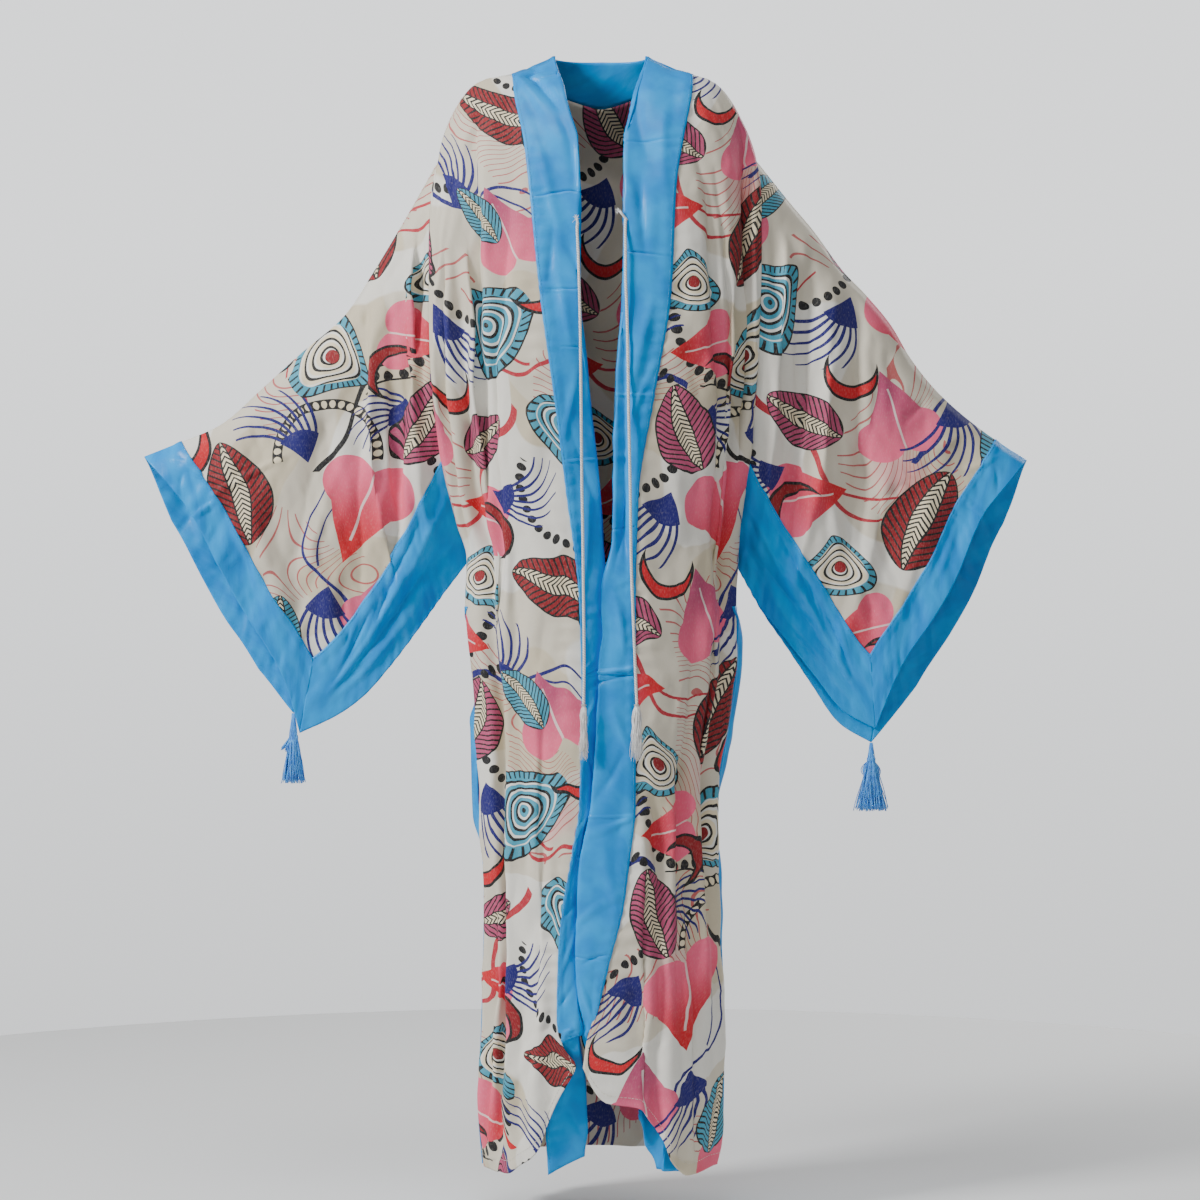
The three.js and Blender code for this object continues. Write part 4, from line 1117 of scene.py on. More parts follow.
def strandTube(path, widths, corners=4):
    # rings round each point of a path, with its two ends closed to a point
    along = unit(np.gradient(path, axis=0))
    side = unit(np.cross(along, strandForm["side"]))
    up = np.cross(along, side)
    radius = (widths / 2)[:, None]
    rings = []
    for step in range(corners):
        turn = 2 * math.pi * step / corners
        rings.append(path + (side * math.cos(turn) + up * math.sin(turn)) * radius)
    vertices = np.stack(rings, axis=1).reshape(-1, 3)
    faces = []
    for ring in range(len(path) - 1):
        low, high = ring * corners, (ring + 1) * corners
        for step in range(corners):
            after = (step + 1) % corners
            faces.append((low + step, low + after, high + after, high + step))
    last = (len(path) - 1) * corners
    faces.append(tuple(range(corners))[::-1])
    faces.append(tuple(last + step for step in range(corners)))
    return vertices, faces


def addStrands(name, strands, material):
    vertices, faces, count = [], [], 0
    for path, widths in strands:
        points, rings = strandTube(path, widths)
        vertices.append(points)
        faces += [tuple(corner + count for corner in face) for face in rings]
        count += len(points)
    return addMesh(name, np.concatenate(vertices), np.array(faces), material)


stitch = {"length": 0.0030, "gap": 0.0013, "width": 0.00055, "places": (0, 0.2, 0.8, 1),
          "rises": (-0.00022, 0.00016, 0.00016, -0.00022)}


def sewAlong(name, seams, thread=None):
    # a row of short raised stitches along each line that lies on the cloth
    strands = []
    for line, out in seams:
        run = runAlong(line)
        pitch = stitch["length"] + stitch["gap"]
        for start in np.arange(stitch["gap"], run[-1] - stitch["length"], pitch):
            places = start + stitch["length"] * np.array(stitch["places"])
            rise = readLine(out, run, places) * np.array(stitch["rises"])[:, None]
            strands.append((readLine(line, run, places) + rise, np.full(len(rise), stitch["width"])))
    sewn = addStrands(name, strands, thread or seamThread)
    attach(sewn, "root")
    return sewn


def seamOn(name, column=None, row=None):
    # the line at a part-way column or row of a laid cloth's outer layer
    cloth = laidCloths[name]
    place = column if column is not None else row
    low = math.floor(place)
    share = place - low
    parts = []
    for grid in (cloth["outer"], cloth["out"]):
        grid = grid if column is not None else grid.swapaxes(0, 1)
        parts.append(mix(grid[:, low], grid[:, low + 1], share))
    return tuple(parts)


def ringAround(centre, radius, width, material, name, squash=0.8):
    bpy.ops.mesh.primitive_torus_add(location=centre, major_radius=radius, minor_radius=width,
                                     major_segments=28, minor_segments=10)
    ring = bpy.context.object
    ring.name = name
    ring.scale = (1, squash, 1)
    bpy.ops.object.transform_apply(location=True, rotation=True, scale=True)
    bpy.ops.object.shade_smooth()
    ring.data.materials.append(material)
    ring.select_set(False)
    return ring


puckerForm = {"wander": (1.6, 0.9), "wanderPaces": (31, 83), "least": 0.65, "uneven": 0.35, "pace": 19}


def puckered(run, seed, pitch=0.0155):
    # the pulled look of a machine seam, uneven along its run
    phases = np.random.default_rng(seed).uniform(0, 6, 4)
    waves = zip(puckerForm["wander"], puckerForm["wanderPaces"], phases)
    wander = sum(height * np.sin(run * pace + phase) for height, pace, phase in waves)
    strength = puckerForm["least"] + puckerForm["uneven"] * np.sin(run * puckerForm["pace"] + phases[2])
    return np.sin(run * 2 * math.pi / pitch + wander) * strength


# the back
backCloth = {
    "columns": 126, "rows": (34, 212), "thickness": 0.0010, "lift": 0.0002,
    "flat": (0.47, 1.32), "area": 0.58, "print": (0.31, 0.17), "creased": 1.5, "pleated": 1.4,
    "waves": ((3, 0.060, 0.0018), (4, 0.022, 0.0004)), "rounded": (0.02, 0.05),
    "pleats": pleatTable([
        (-125, -380, 4, 560, -9.5, 20, 5, 10), (116, -400, -4, 600, -9, 5, 20, -10),
        (-60, -560, 2, 660, -7, 14, 5, 8), (52, -640, -2, 620, -7, 5, 15, -7),
        (-4, -900, 1, 560, -6, 12, 6, 5), (142, -940, -2, 480, -8, 5, 16, -5),
        (-142, -960, 2, 460, -8, 16, 5, 5), (90, -1060, 3, 400, -6, 5, 12, 5),
        (-92, -1080, -3, 380, -6.5, 13, 5, -5),
    ]),
    "creases": creaseTable([
        (-90, -200, 62, 150, 2.2, 6, 6), (85, -215, -58, 160, 2.4, 6.2, -5),
        (-120, -300, 48, 130, 1.8, 5, 4), (128, -330, -45, 140, 2, 5.5, -4),
        (-40, -420, 76, 120, -1.2, 5, 3), (30, -470, 84, 140, 1.2, 4.5, 4),
        (-60, -560, 84, 130, 1.4, 4, -3), (75, -590, -80, 110, 1.3, 4, 3),
        (10, -690, 88, 170, 1.1, 3.6, 4), (-95, -760, 74, 90, 1.3, 4.5, 2),
        (100, -800, -70, 100, -1.4, 5, 3), (-20, -900, 12, 220, 2, 7, 8),
        (60, -960, -9, 260, 2.2, 7.5, -8), (-110, -1040, 8, 230, -1.8, 7, 6),
        (120, -1100, -6, 200, 1.8, 7, 5), (0, -1090, 90, 260, 0.9, 2.2, 1),
        (-70, -110, 80, 90, 1.5, 5, 6), (60, -120, -82, 80, 1.4, 5, -5),
    ]),
}


panelEdge = {"side": (0, 0.14), "top": (-0.02, -0.07), "hem": (-1.294, -1.27)}


def panelFade(turn, level):
    # creases, pleats and waves end at the seams and at the hem
    return ramp(turn, *panelEdge["side"]) * inRange(level, panelEdge["top"], panelEdge["hem"])


def bodyFlat(sign, turn, z):
    # distance out from the middle line round the body, and height
    return sign * (1 - turn) * body["quarterGirth"], z


def shapeBack(across, level):
    points = backPoint(across, level)
    turn = backTurn(across, level)
    u, v = bodyFlat(np.where(across < 0.5, -1, 1), turn, level)
    push = pushOf(u, v, backCloth, backCloth["creased"], backCloth["pleated"])
    push += wavesOf(u, v, backCloth["waves"], 0)
    out, _ = outwardsOf(points, backwards * ramp(points[..., 1:2], *backCloth["rounded"]))
    return points + out * (push * panelFade(turn, level))[..., None]


hem = {"deep": 0.010, "rows": 7, "thicker": 0.0009, "step": (0.0012, -0.0004), "sewn": 0.8}


def levelsOf(start, counts):
    # rows from the top to the join, from there to the hem, and over the hem
    middle, end = body["joinLevel"], body["hem"] + body["edge"]
    upper = np.linspace(start, middle, counts[0], endpoint=False)
    lower = np.linspace(middle, end + hem["deep"], counts[1], endpoint=False)
    return np.concatenate([upper, lower, np.linspace(end + hem["deep"], end, hem["rows"])])


def hemAt(level):
    # the narrow hem is turned up on the inside
    top = body["hem"] + hem["deep"]
    return hem["thicker"] * ramp(level, top + hem["step"][0], top + hem["step"][1])


acrossBack, levelBack = np.meshgrid(
    np.linspace(0, 1, backCloth["columns"]),
    levelsOf(body["neckLevel"] - body["edge"], backCloth["rows"]))
backPoints = shapeBack(acrossBack, levelBack)
backUv = measuredPrint(backPoints, backCloth["columns"] // 2) + np.array(backCloth["print"])
backHem = hemAt(levelBack)
back = layCloth("back_cloth", backPoints, backwards, backUv,
                backCloth["thickness"] + backHem, backCloth["lift"] - backHem, printedCloth)
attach(back, "root")
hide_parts("back_panel")
print("back laid, flat", round(flatArea(backPoints), 3))

# the fronts
frontCloth = {
    "columns": 112, "rows": (30, 212), "thickness": 0.0010, "lift": 0.0002,
    "flat": (0.22, 1.32), "top": -0.012, "creased": 1.3, "leastAtSeam": 0.05, "seamFade": (1, 0.90),
    "waves": ((7, 0.055, 0.0018), (11, 0.020, 0.0004)),
    # pulled a little at each stitch group along the band's seam
    "pulled": {"wide": 0.15, "middle": 0.009, "height": 0.0011, "seed": 71, "pitch": 0.019},
    "right": {"print": (0.14, 0.41), "area": 0.268, "pleats": pleatTable([
        (-117, -330, 0, 580, -19, 26, 4.4, 22), (-85, -430, 4.6, 520, -10, 15, 3.6, 3),
        (-113, -930, 2, 740, -13, 18, 3.8, -3), (-64, -980, 3, 460, -7, 13, 4.4, 4),
        (-158, -420, 2, 420, -8, 10, 6, 4), (-150, -1120, 1, 340, -8, 11, 5, 3),
    ]), "creases": creaseTable([
        (-92, -560, 2, 300, 2.6, 6, 3), (-118, -800, 3, 300, 2.6, 6.2, 3),
        (-62, -860, 5, 250, -2.4, 3.8, 3), (-60, -612, 88, 90, 1.4, 2.2, 1),
        (-90, -560, 84, 80, -1.2, 2.4, 1), (-70, -1205, 87, 100, 1.3, 2, 1),
        (-122, -60, 38, 110, -2.4, 4.5, 6), (-150, -150, 20, 110, 1.8, 6, 4),
        (-160, -240, 12, 160, 2, 6, 5), (-150, -380, -8, 150, -1.8, 6, 4),
        (-100, -330, 5, 170, 1.2, 5, -3), (-165, -520, 28, 100, 1.8, 5, 3),
        (-75, -590, 82, 90, 1, 3, 2), (-120, -640, -74, 80, 1.2, 3.5, 2),
        (-60, -700, 10, 180, -1.2, 6, 4), (-95, -830, -8, 200, 1.8, 6, -5),
        (-140, -900, 14, 160, 2, 6, 4), (-70, -1020, 16, 190, 2.2, 6.5, 6),
        (-110, -1090, 88, 130, 0.8, 2, 1), (-85, -1150, 30, 150, 2.6, 7, 8),
        (-60, -1120, 52, 90, -2, 6, 4), (-130, -1220, 6, 120, -1.8, 7, 4),
        (-45, -1140, 44, 70, 1.8, 4.5, 3),
    ])},
    "left": {"print": (0.27, 0.05), "area": 0.256, "pleats": pleatTable([
        (98, -370, -4.9, 560, -12, 4, 15, 4), (118, -300, -6, 360, -8, 4.4, 12, -3),
        (160, -270, 0, 420, -20, 28, 4.4, 3), (128, -800, -2, 520, -12, 4, 16, -4),
        (36, -1090, 2, 320, -10.5, 13, 4, 5), (84, -900, 2, 440, -7.5, 4.4, 13, 4),
        (108, -1120, -3, 340, -9, 4.4, 14, -4),
    ]), "creases": creaseTable([
        (112, -560, 2, 340, 2.6, 6, 3), (72, -960, 4, 300, 2.6, 6, 4), (70, -640, 86, 100, 1.4, 2.2, 1),
        (60, -735, -48, 110, 1.6, 2.4, 4), (80, -1205, 88, 110, 1.3, 2, 1),
        (118, -70, -34, 100, 1.8, 5, -5), (140, -150, -18, 110, -1.6, 5.5, 4),
        (120, -270, -6, 190, 1.8, 6, 4), (95, -400, 8, 190, -1.2, 5.5, 4),
        (150, -430, -20, 140, 2, 6, -3), (85, -590, -84, 100, 1, 3, 2),
        (110, -620, 78, 90, 1.2, 3.2, -2), (140, -700, -12, 170, 1.6, 6, 4),
        (70, -770, 6, 180, 1.4, 5.5, 3), (115, -880, 10, 190, -1.8, 6.5, 5),
        (50, -930, -14, 180, 1.8, 6, -4), (10, -1060, -18, 130, 1.8, 5.5, 4),
        (90, -1090, 88, 140, 0.8, 2, 1), (20, -1150, -62, 80, 2.2, 5.5, 4),
        (60, -1180, -40, 110, 2.4, 6.5, -6), (100, -1210, -12, 130, -2, 7, 4),
        (45, -1140, 70, 70, -1.4, 4, 2),
    ])},
}


def shapeFront(sign, across, level):
    points = frontPoint(sign, across, level)
    z = frontLevel(sign, across, level)
    turn = frontTurn(sign, across, z)
    u, v = bodyFlat(sign, turn, z)
    edge = mix(frontCloth["leastAtSeam"], 1, ramp(across, *frontCloth["seamFade"]))
    edge = edge * panelFade(turn, level)
    push = pushOf(u, v, frontCloth[sideOf(sign)], frontCloth["creased"])
    push += wavesOf(u, v, frontCloth["waves"], sign)
    pulled = frontCloth["pulled"]
    fromSeam = (1 - across) * pulled["wide"] / pulled["middle"]
    seam = np.exp(-(fromSeam - 1) ** 2) * ramp(level, *panelEdge["top"])
    push = push * edge + seam * pulled["height"] * puckered(v, pulled["seed"] + sign, pulled["pitch"])
    out, _ = outwardsOf(points, frontwards)
    return points + out * push[..., None]


for side, sign in sides:
    across, level = np.meshgrid(
        np.linspace(0, 1, frontCloth["columns"]),
        levelsOf(frontCloth["top"], frontCloth["rows"]))
    points = shapeFront(sign, across, level)
    uv = measuredPrint(points, frontCloth["columns"] - 1) * np.array([-1, 1])
    uv = uv + np.array(frontCloth[side]["print"])
    turnedUp = hemAt(level)
    front = layCloth(f"front_cloth_{side}", points, frontwards, uv,
                     frontCloth["thickness"] + turnedUp, frontCloth["lift"] - turnedUp, printedCloth)
    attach(front, "root")
    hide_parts(f"front_{side}")
    print("front laid", side, "flat", round(flatArea(points), 3))

# the front bands and the neck band
frontBand = {
    "columns": 34, "step": 0.0040, "thickness": 0.0010, "lap": 0.0017, "lift": 0.0003,
    "flat": (0.064, 1.31), "pressed": {"reach": 0.008, "step": 0.0012, "closest": 0.4},
    "creased": 1.9, "creaseFade": (0, 0.12), "creaseLevels": (0.004, -0.026), "pressedFade": (0, 0.05),
    "waves": ((21, 0.050, 0.0009, 0.5), (25, 0.018, 0.00012, 0.8)), "waveFade": ((0, 0.3), (1.0, 0.8)),
    "pucker": {"seed": 5, "height": 0.0007, "place": 0.006}, "endFade": 0.03, "leastAtEnd": 0.3,
    "turnedEndLevels": (-1.090, -1.128), "turnedEndEdge": (-1.1350, -1.1285),
    "tailTurnLevels": (-1.145, -1.185), "tailSlantOver": 0.07, "facing": (0.65, 0.55),
    "lapFade": (0.22, 0.08),
    # the turned end of the upper part, and the tail below it that hangs slanted and turned to one side
    "turnedEnd": {"right": 0.0050, "left": 0}, "tailSlant": {"right": 0.019, "left": 0.004},
    "tailTurn": {"right": 0.018, "left": 0.006},
    # the left band sinks beside its cord, and its edge at the opening stands up again
    "valley": {"place": 0.0256, "wall": 0.009, "slope": 0.62, "deepest": 0.0080, "least": 0.001,
               "past": 0.01, "widths": (0.003, 0.006), "levels": ((-0.24, -0.30), (-0.61, -0.55))},
    "right": creaseTable([
        (20, -38, -20, 80, -4.2, 3.2, 2), (10, -40, -20, 70, 2.2, 4, 2),
        (30, -115, -4, 130, -3, 4.2, 2), (16, -150, -6, 160, 2.2, 5, -2),
        (36, -262, -16, 110, -2.6, 4, 2), (20, -300, -3, 130, 1.8, 5, 2),
        (42, -190, -5, 100, 1.8, 4, 1), (12, -230, 6, 90, -1.6, 3.8, 2),
        (34, -350, 5, 120, -1.8, 4.2, 1), (12, -410, 16, 120, 1.6, 4, 3),
        (24, -480, -12, 130, -1.5, 4.2, -2), (16, -560, 8, 140, 1.6, 4.2, 3),
        (20, -642, 76, 46, 1.4, 2.8, 2), (14, -702, 58, 34, 1.6, 2.6, 2),
        (22, -726, 68, 30, -1.4, 2.4, 2), (16, -752, 40, 36, 1.7, 2.8, 3),
        (10, -790, 14, 90, 1.7, 3.6, -2), (24, -830, -20, 80, -1.6, 3.6, 3),
        (14, -880, 34, 60, 1.6, 3.4, 3), (20, -930, -8, 110, 1.8, 4, 2), (10, -985, 60, 40, -1.5, 3, 2),
        (16, -1030, 22, 70, 1.7, 3.6, 3), (12, -1085, 48, 50, -1.6, 3.4, 2),
        (20, -1120, 70, 40, 1.6, 3, 2), (14, -1190, 12, 90, 1.8, 4.6, 3),
        (24, -1235, -16, 70, -1.6, 4.2, 2),
    ]),
    "left": creaseTable([
        (46, -64, 12, 100, 2.6, 4.5, 1), (30, -70, 9, 120, -2.6, 4.4, 1),
        (42, -184, 13, 100, -3.2, 3.4, 3), (23, -188, 3, 110, -2.8, 3.6, 1),
        (12, -110, 4, 130, 2.2, 5, 1), (33, -150, 8, 90, 1.8, 4, 1), (36, -300, 8, 120, -2.2, 4.2, 2),
        (16, -330, -4, 130, 2, 5, 2), (12, -400, -14, 110, 1.6, 4.2, 3),
        (22, -466, -78, 48, 1.4, 2.8, 2), (18, -540, -8, 150, -1.5, 4.4, 3),
        (12, -610, -64, 36, 1.4, 2.8, 2), (20, -656, 10, 90, 1.5, 4, -3),
        (18, -713, -84, 58, 2.4, 2.8, 2), (26, -722, -70, 40, -1.5, 2.6, 1),
        (12, -780, 20, 80, 1.8, 4, 3), (22, -836, -20, 90, -1.6, 4, 2),
        (16, -890, -56, 50, 1.6, 3.4, 2), (12, -945, 12, 100, 1.8, 4.2, 3),
        (22, -990, -40, 60, 1.5, 3.4, 3), (10, -1040, -66, 40, -1.6, 3, 2),
        (18, -1085, 24, 70, 1.7, 3.6, 3), (16, -1180, -44, 60, 1.8, 4.2, 3),
        (22, -1240, 14, 70, -1.6, 4.2, 2),
    ]),
    # thin sharp marks of folding across the band
    "pressedRight": creaseTable([
        (36, -27, 80, 40, -1.8, 1.4, 0), (17, -164, 72, 34, -2.6, 1.5, 0),
        (43, -163.5, 101, 40, -2.2, 1.5, 0), (30, -275, 90, 60, -2, 1.3, 0),
        (32, -341, 91, 44, -1.7, 1.3, 0), (22, -470, 84, 50, 1.7, 1.4, 0),
        (24, -712, 78, 56, -2.4, 1.4, 0), (20, -926, 96, 50, 1.9, 1.4, 0),
        (26, -1128, 84, 50, -1.8, 1.4, 0),
    ]),
    "pressedLeft": creaseTable([
        (30, -232, 78, 66, -2.4, 1.4, 0), (28, -102, 96, 44, -1.6, 1.3, 0),
        (22, -396, 88, 56, 1.8, 1.4, 0), (24, -548, 97, 50, -1.7, 1.3, 0),
        (28, -715.5, 86, 70, -2.8, 1.4, 0), (22, -878, 92, 50, 1.8, 1.4, 0),
        (22, -1040, 82, 50, -1.9, 1.4, 0),
    ]),
}


def bandLevels(end, pressed):
    # even steps down the band, closer ones at the sharp marks
    count = int((body["neckLevel"] - end) / frontBand["step"])
    levels = [np.linspace(body["neckLevel"], end, count)]
    reach, step = frontBand["pressed"]["reach"], frontBand["pressed"]["step"]
    for middle in pressed["v"]:
        levels.append(np.arange(middle - reach, middle + reach, step))
    levels = np.sort(np.concatenate(levels))[::-1]
    levels = levels[(levels <= body["neckLevel"]) & (levels >= end)]
    apart = np.concatenate([[True], -np.diff(levels) > step * frontBand["pressed"]["closest"]])
    apart[-1] = True
    return levels[apart]


def valleyAt(x, m, level):
    valley = frontBand["valley"]
    edge = x[:, np.abs(m[0] - bandForm["shown"]).argmin()][:, None]
    wide = np.maximum(valley["place"] - edge, valley["least"])
    deep = np.minimum(valley["slope"] * wide, valley["deepest"]) * ramp(wide, *valley["widths"])
    fromOpening = clampShare((x - edge) / wide)
    fromSeam = ramp(x, valley["place"] + valley["wall"], valley["place"])
    depth = np.where(x < valley["place"], fromOpening, fromSeam)
    depth = depth * (m < bandForm["shown"] + valley["past"])
    return deep * depth * inRange(level, *valley["levels"])


for side, sign in sides:
    end = bandTails[side]["z"][-1]
    pressed = frontBand["pressedRight" if sign < 0 else "pressedLeft"]
    m, level = np.meshgrid(np.linspace(0, 1, frontBand["columns"]), bandLevels(end, pressed))
    points = bandPoint(sign, m, level)
    away = frontwards * ramp(m, *frontBand["facing"])[..., None]
    out, _ = outwardsOf(points, away)
    u = m * bandForm["width"]
    shown = clampShare(m / bandForm["shown"])
    slanted = ramp(level, end + frontBand["tailSlantOver"], end)
    points[..., 1] += frontBand["tailTurn"][side] * shown * ramp(level, *frontBand["tailTurnLevels"])
    points[..., 2] += frontBand["tailSlant"][side] * shown * slanted
    if sign > 0:
        points[..., 1] += valleyAt(points[..., 0], m, level)
    push = creaseAt(u, level, frontBand[side]) * frontBand["creased"]
    push *= ramp(m, *frontBand["creaseFade"]) * ramp(level, *frontBand["creaseLevels"])
    push += creaseAt(u, level, pressed) * ramp(m, *frontBand["pressedFade"])
    for seed, size, height, upright in frontBand["waves"]:
        wave = unevenness(u, level, seed + sign, size, height, upright)
        push += wave * inRange(m, *frontBand["waveFade"])
    pucker = frontBand["pucker"]
    atSeam = np.exp(-(u / pucker["place"] - 1) ** 2)
    push += puckered(level, pucker["seed"] + sign) * pucker["height"] * atSeam
    push *= mix(frontBand["leastAtEnd"], 1, ramp(level, end, end + frontBand["endFade"]))
    aboveEnd = level > mix(*frontBand["turnedEndEdge"], shown)
    push += frontBand["turnedEnd"][side] * ramp(level, *frontBand["turnedEndLevels"]) * aboveEnd
    points = points + out * push[..., None]
    lift = mix(frontBand["lift"], frontBand["lap"], ramp(m, *frontBand["lapFade"]))
    bandPiece = layCloth(f"front_band_cloth_{side}", points, away, measuredPrint(points),
                         frontBand["thickness"], lift, plainBand)
    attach(bandPiece, "root")
    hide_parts(f"front_band_{side}")
    print("front band laid", side, "flat", round(flatArea(points), 3))

neckBand = {"columns": 130, "rows": 14, "thickness": 0.0010, "lift": 0.0004, "flat": (0.235, 0.045)}
across, up = np.meshgrid(np.linspace(0, 1, neckBand["columns"]), np.linspace(1, 0, neckBand["rows"]))
points = neckBandPoint(across, up)
neck = layCloth("neck_band_cloth", points, backwards, measuredPrint(points)[..., ::-1],
                neckBand["thickness"], neckBand["lift"], plainBand)
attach(neck, "root")
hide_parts("neck_band")
print("neck band laid, flat", round(flatArea(points), 4))

# the slit bands, flat on the panels' side edges
slitBand = {
    "thickness": 0.0007, "face": 0.0014, "back": 0.0002, "below": 0.0006,
    "frontFlat": (0.098, 0.66), "frontColumns": 25, "backFlat": (0.110, 0.66), "backColumns": 17,
}
for side, sign in sides:
    for layer, _ in layers:
        cloth = laidCloths[f"front_cloth_{side}" if layer == "front" else "back_cloth"]
        points, out = cloth["points"], cloth["out"]
        if layer == "back" and sign > 0:
            points, out = points[:, ::-1], out[:, ::-1]
        first = int(np.argmin(np.abs(points[:, 0, 2] - body["slitTop"])))
        count = slitBand[f"{layer}Columns"]
        strip, away = boundEdge(points[first:, :count], out[first:, :count],
                                slitBand["face"], slitBand["back"])
        strip[-1, :, 2] -= slitBand["below"]
        bound = layCloth(f"slit_band_cloth_{side}_{layer}", strip, away, measuredPrint(strip),
                         slitBand["thickness"], 0, plainBand)
        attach(bound, "root")
        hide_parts(f"slit_band_{side}_{layer}")
        print("slit band laid", side, layer, "flat", round(flatArea(strip), 4))

# the sleeves: one cloth folded over the arm, with a band round the cuff and one at the lower edge
sleeveCloth = {
    "columns": 120, "rows": 84, "thickness": 0.0010, "lift": 0.0002, "flat": (0.72, 0.45),
    "area": 0.205, "creased": 1.3, "closer": 1.35, "facing": (0.1, 0.3),
    # the back layer carries the other sleeve's creases and pleats, shifted a little
    "shift": {"creases": (0.012, -0.02), "pleats": (0.010, 0), "waves": 0.3},
    "broadWaves": ((31, 0.060, 0.0020),), "fineWaves": ((37, 0.020, 0.0005),),
    "rootFade": (0, 0.06), "foldFade": (0.02, 0.12), "lowerFade": (1.0, 0.93),
    "cuffFade": (1, 0.93), "leastAtCuff": 0.35, "bandFade": (0.92, 0.78), "leastAtBand": 0.30,
    "right": {"print": (0.11, 0.02), "pleats": pleatTable([
        (222, -400, -6, 440, -15, 24, 4.4, 6), (279, -440, -1.5, 440, -9, 18, 8, 4),
        (345, -540, -9, 260, -4.5, 14, 10, 5), (208, -300, 4, 260, -6, 12, 6, 4),
    ]), "creases": creaseTable([
        (410, -484, -62, 130, 4.4, 2.8, 2), (406, -427, 20, 55, -2.2, 4, 3),
        (372, -400, 34, 60, 2.2, 5, 3), (440, -450, 40, 60, -2.4, 4.5, 3),
        (470, -480, 62, 60, 2.4, 4, 3), (303, -635, 0, 90, -3.6, 6, 3),
        (330, -560, -14, 160, 3.2, 8, 6), (250, -520, -8, 180, 3.6, 8, 6),
        (345, -650, -20, 90, 2.6, 6, 3), (300, -330, 28, 90, -2.8, 5, 4),
        (284, -290, 10, 70, 5, 4.5, 2), (420, -560, 24, 80, 1.8, 5, 3),
    ])},
    "left": {"print": (0.02, 0.36), "pleats": pleatTable([
        (236, -400, 3, 400, -11, 16, 12, -4), (301, -400, -1, 380, -11, 20, 6, 3),
        (326, -560, -10, 240, -5, 14, 8, 4), (204, -360, -3, 340, -7, 6, 14, 4),
    ]), "creases": creaseTable([
        (388, -512, -52, 105, 3.6, 2.8, 2), (340, -500, 60, 50, -2.2, 4, 3),
        (372, -400, 40, 70, -2.4, 5, 3), (410, -440, 55, 60, 2.4, 4.5, 3),
        (310, -640, -12, 100, -3.8, 6, 4), (270, -560, -10, 180, 3.2, 8, 6),
        (232, -500, -8, 160, 3.2, 7, 5), (336, -610, -24, 110, 2.6, 6, 3),
        (304, -285, -8, 70, 5, 4.5, 2), (440, -470, 70, 60, 2.4, 4, 3),
        (268, -330, 14, 140, -2.6, 6, 4), (400, -580, 20, 90, 1.8, 5, 3),
    ])},
}
cuffCorner = seamCorner()


def foldedRows(rows):
    # down the front from its lower edge to the overarm, and on down the back, closest at the overarm
    down = np.linspace(0, 1, rows) ** sleeveCloth["closer"]
    return np.concatenate([-down[::-1], down[1:]])


def awayOf(folded):
    # towards -Y on the front layer and +Y on the back one, nothing at the fold over the arm
    facing = np.where(folded < 0, -1.0, 1.0) * ramp(np.abs(folded), *sleeveCloth["facing"])
    return np.stack([0 * facing, facing, 0 * facing], axis=-1)


def shapeSleeve(sign, along, folded):
    down = np.abs(folded)
    front, back = sleevePoint(sign, -1, along, down), sleevePoint(sign, 1, along, down)
    points = np.where((folded < 0)[..., None], front, back)
    points[..., 1] = np.where(down < 1e-6, 0, points[..., 1])
    out, _ = outwardsOf(points, awayOf(folded))
    u, v = sign * points[..., 0], points[..., 2]
    creased, shift = sleeveCloth["creased"], sleeveCloth["shift"]
    other = sleeveCloth[sideOf(-sign)]
    push = pushOf(u, v, sleeveCloth[sideOf(sign)], creased, 1, sign)
    behind = creased * creaseAt(u + shift["creases"][0], v + shift["creases"][1], other["creases"])
    behind += pleatAt(u + shift["pleats"][0], v + shift["pleats"][1], other["pleats"], sign)
    push = np.where(folded < 0, push, behind)
    apart = v + np.where(folded < 0, -1, 1) * shift["waves"]
    push += wavesOf(u, apart, sleeveCloth["broadWaves"], sign)
    push += wavesOf(u, v, sleeveCloth["fineWaves"], sign)
    edge = ramp(along, *sleeveCloth["rootFade"])
    edge *= inRange(down, sleeveCloth["foldFade"], sleeveCloth["lowerFade"])
    edge *= mix(sleeveCloth["leastAtCuff"], 1, ramp(along, *sleeveCloth["cuffFade"]))
    edge *= mix(sleeveCloth["leastAtBand"], 1, ramp(down, *sleeveCloth["bandFade"]))
    return points + out * (push * edge)[..., None]


def sleevePrint(sign, along, folded):
    # upright on the front, and carried on over the fold of the arm to the back
    down = np.abs(folded)

    def flatAt(share, depth):
        point = sleevePoint(sign, -1, share, depth)
        return np.stack([sign * point[..., 0], point[..., 2]], axis=-1)

    here, fold = flatAt(along, down), flatAt(along, 0 * down)
    start, end = flatAt(0 * along, 0 * down), flatAt(0 * along + 1, 0 * down)
    run = unit(end - start)

    def turnedOver(point):
        # mirrored over the straight line from the armhole to the cuff
        apart = point - start
        return start + 2 * run * np.sum(apart * run, axis=-1, keepdims=True) - apart

    return np.where((folded < 0)[..., None], here, turnedOver(here) + fold - turnedOver(fold))


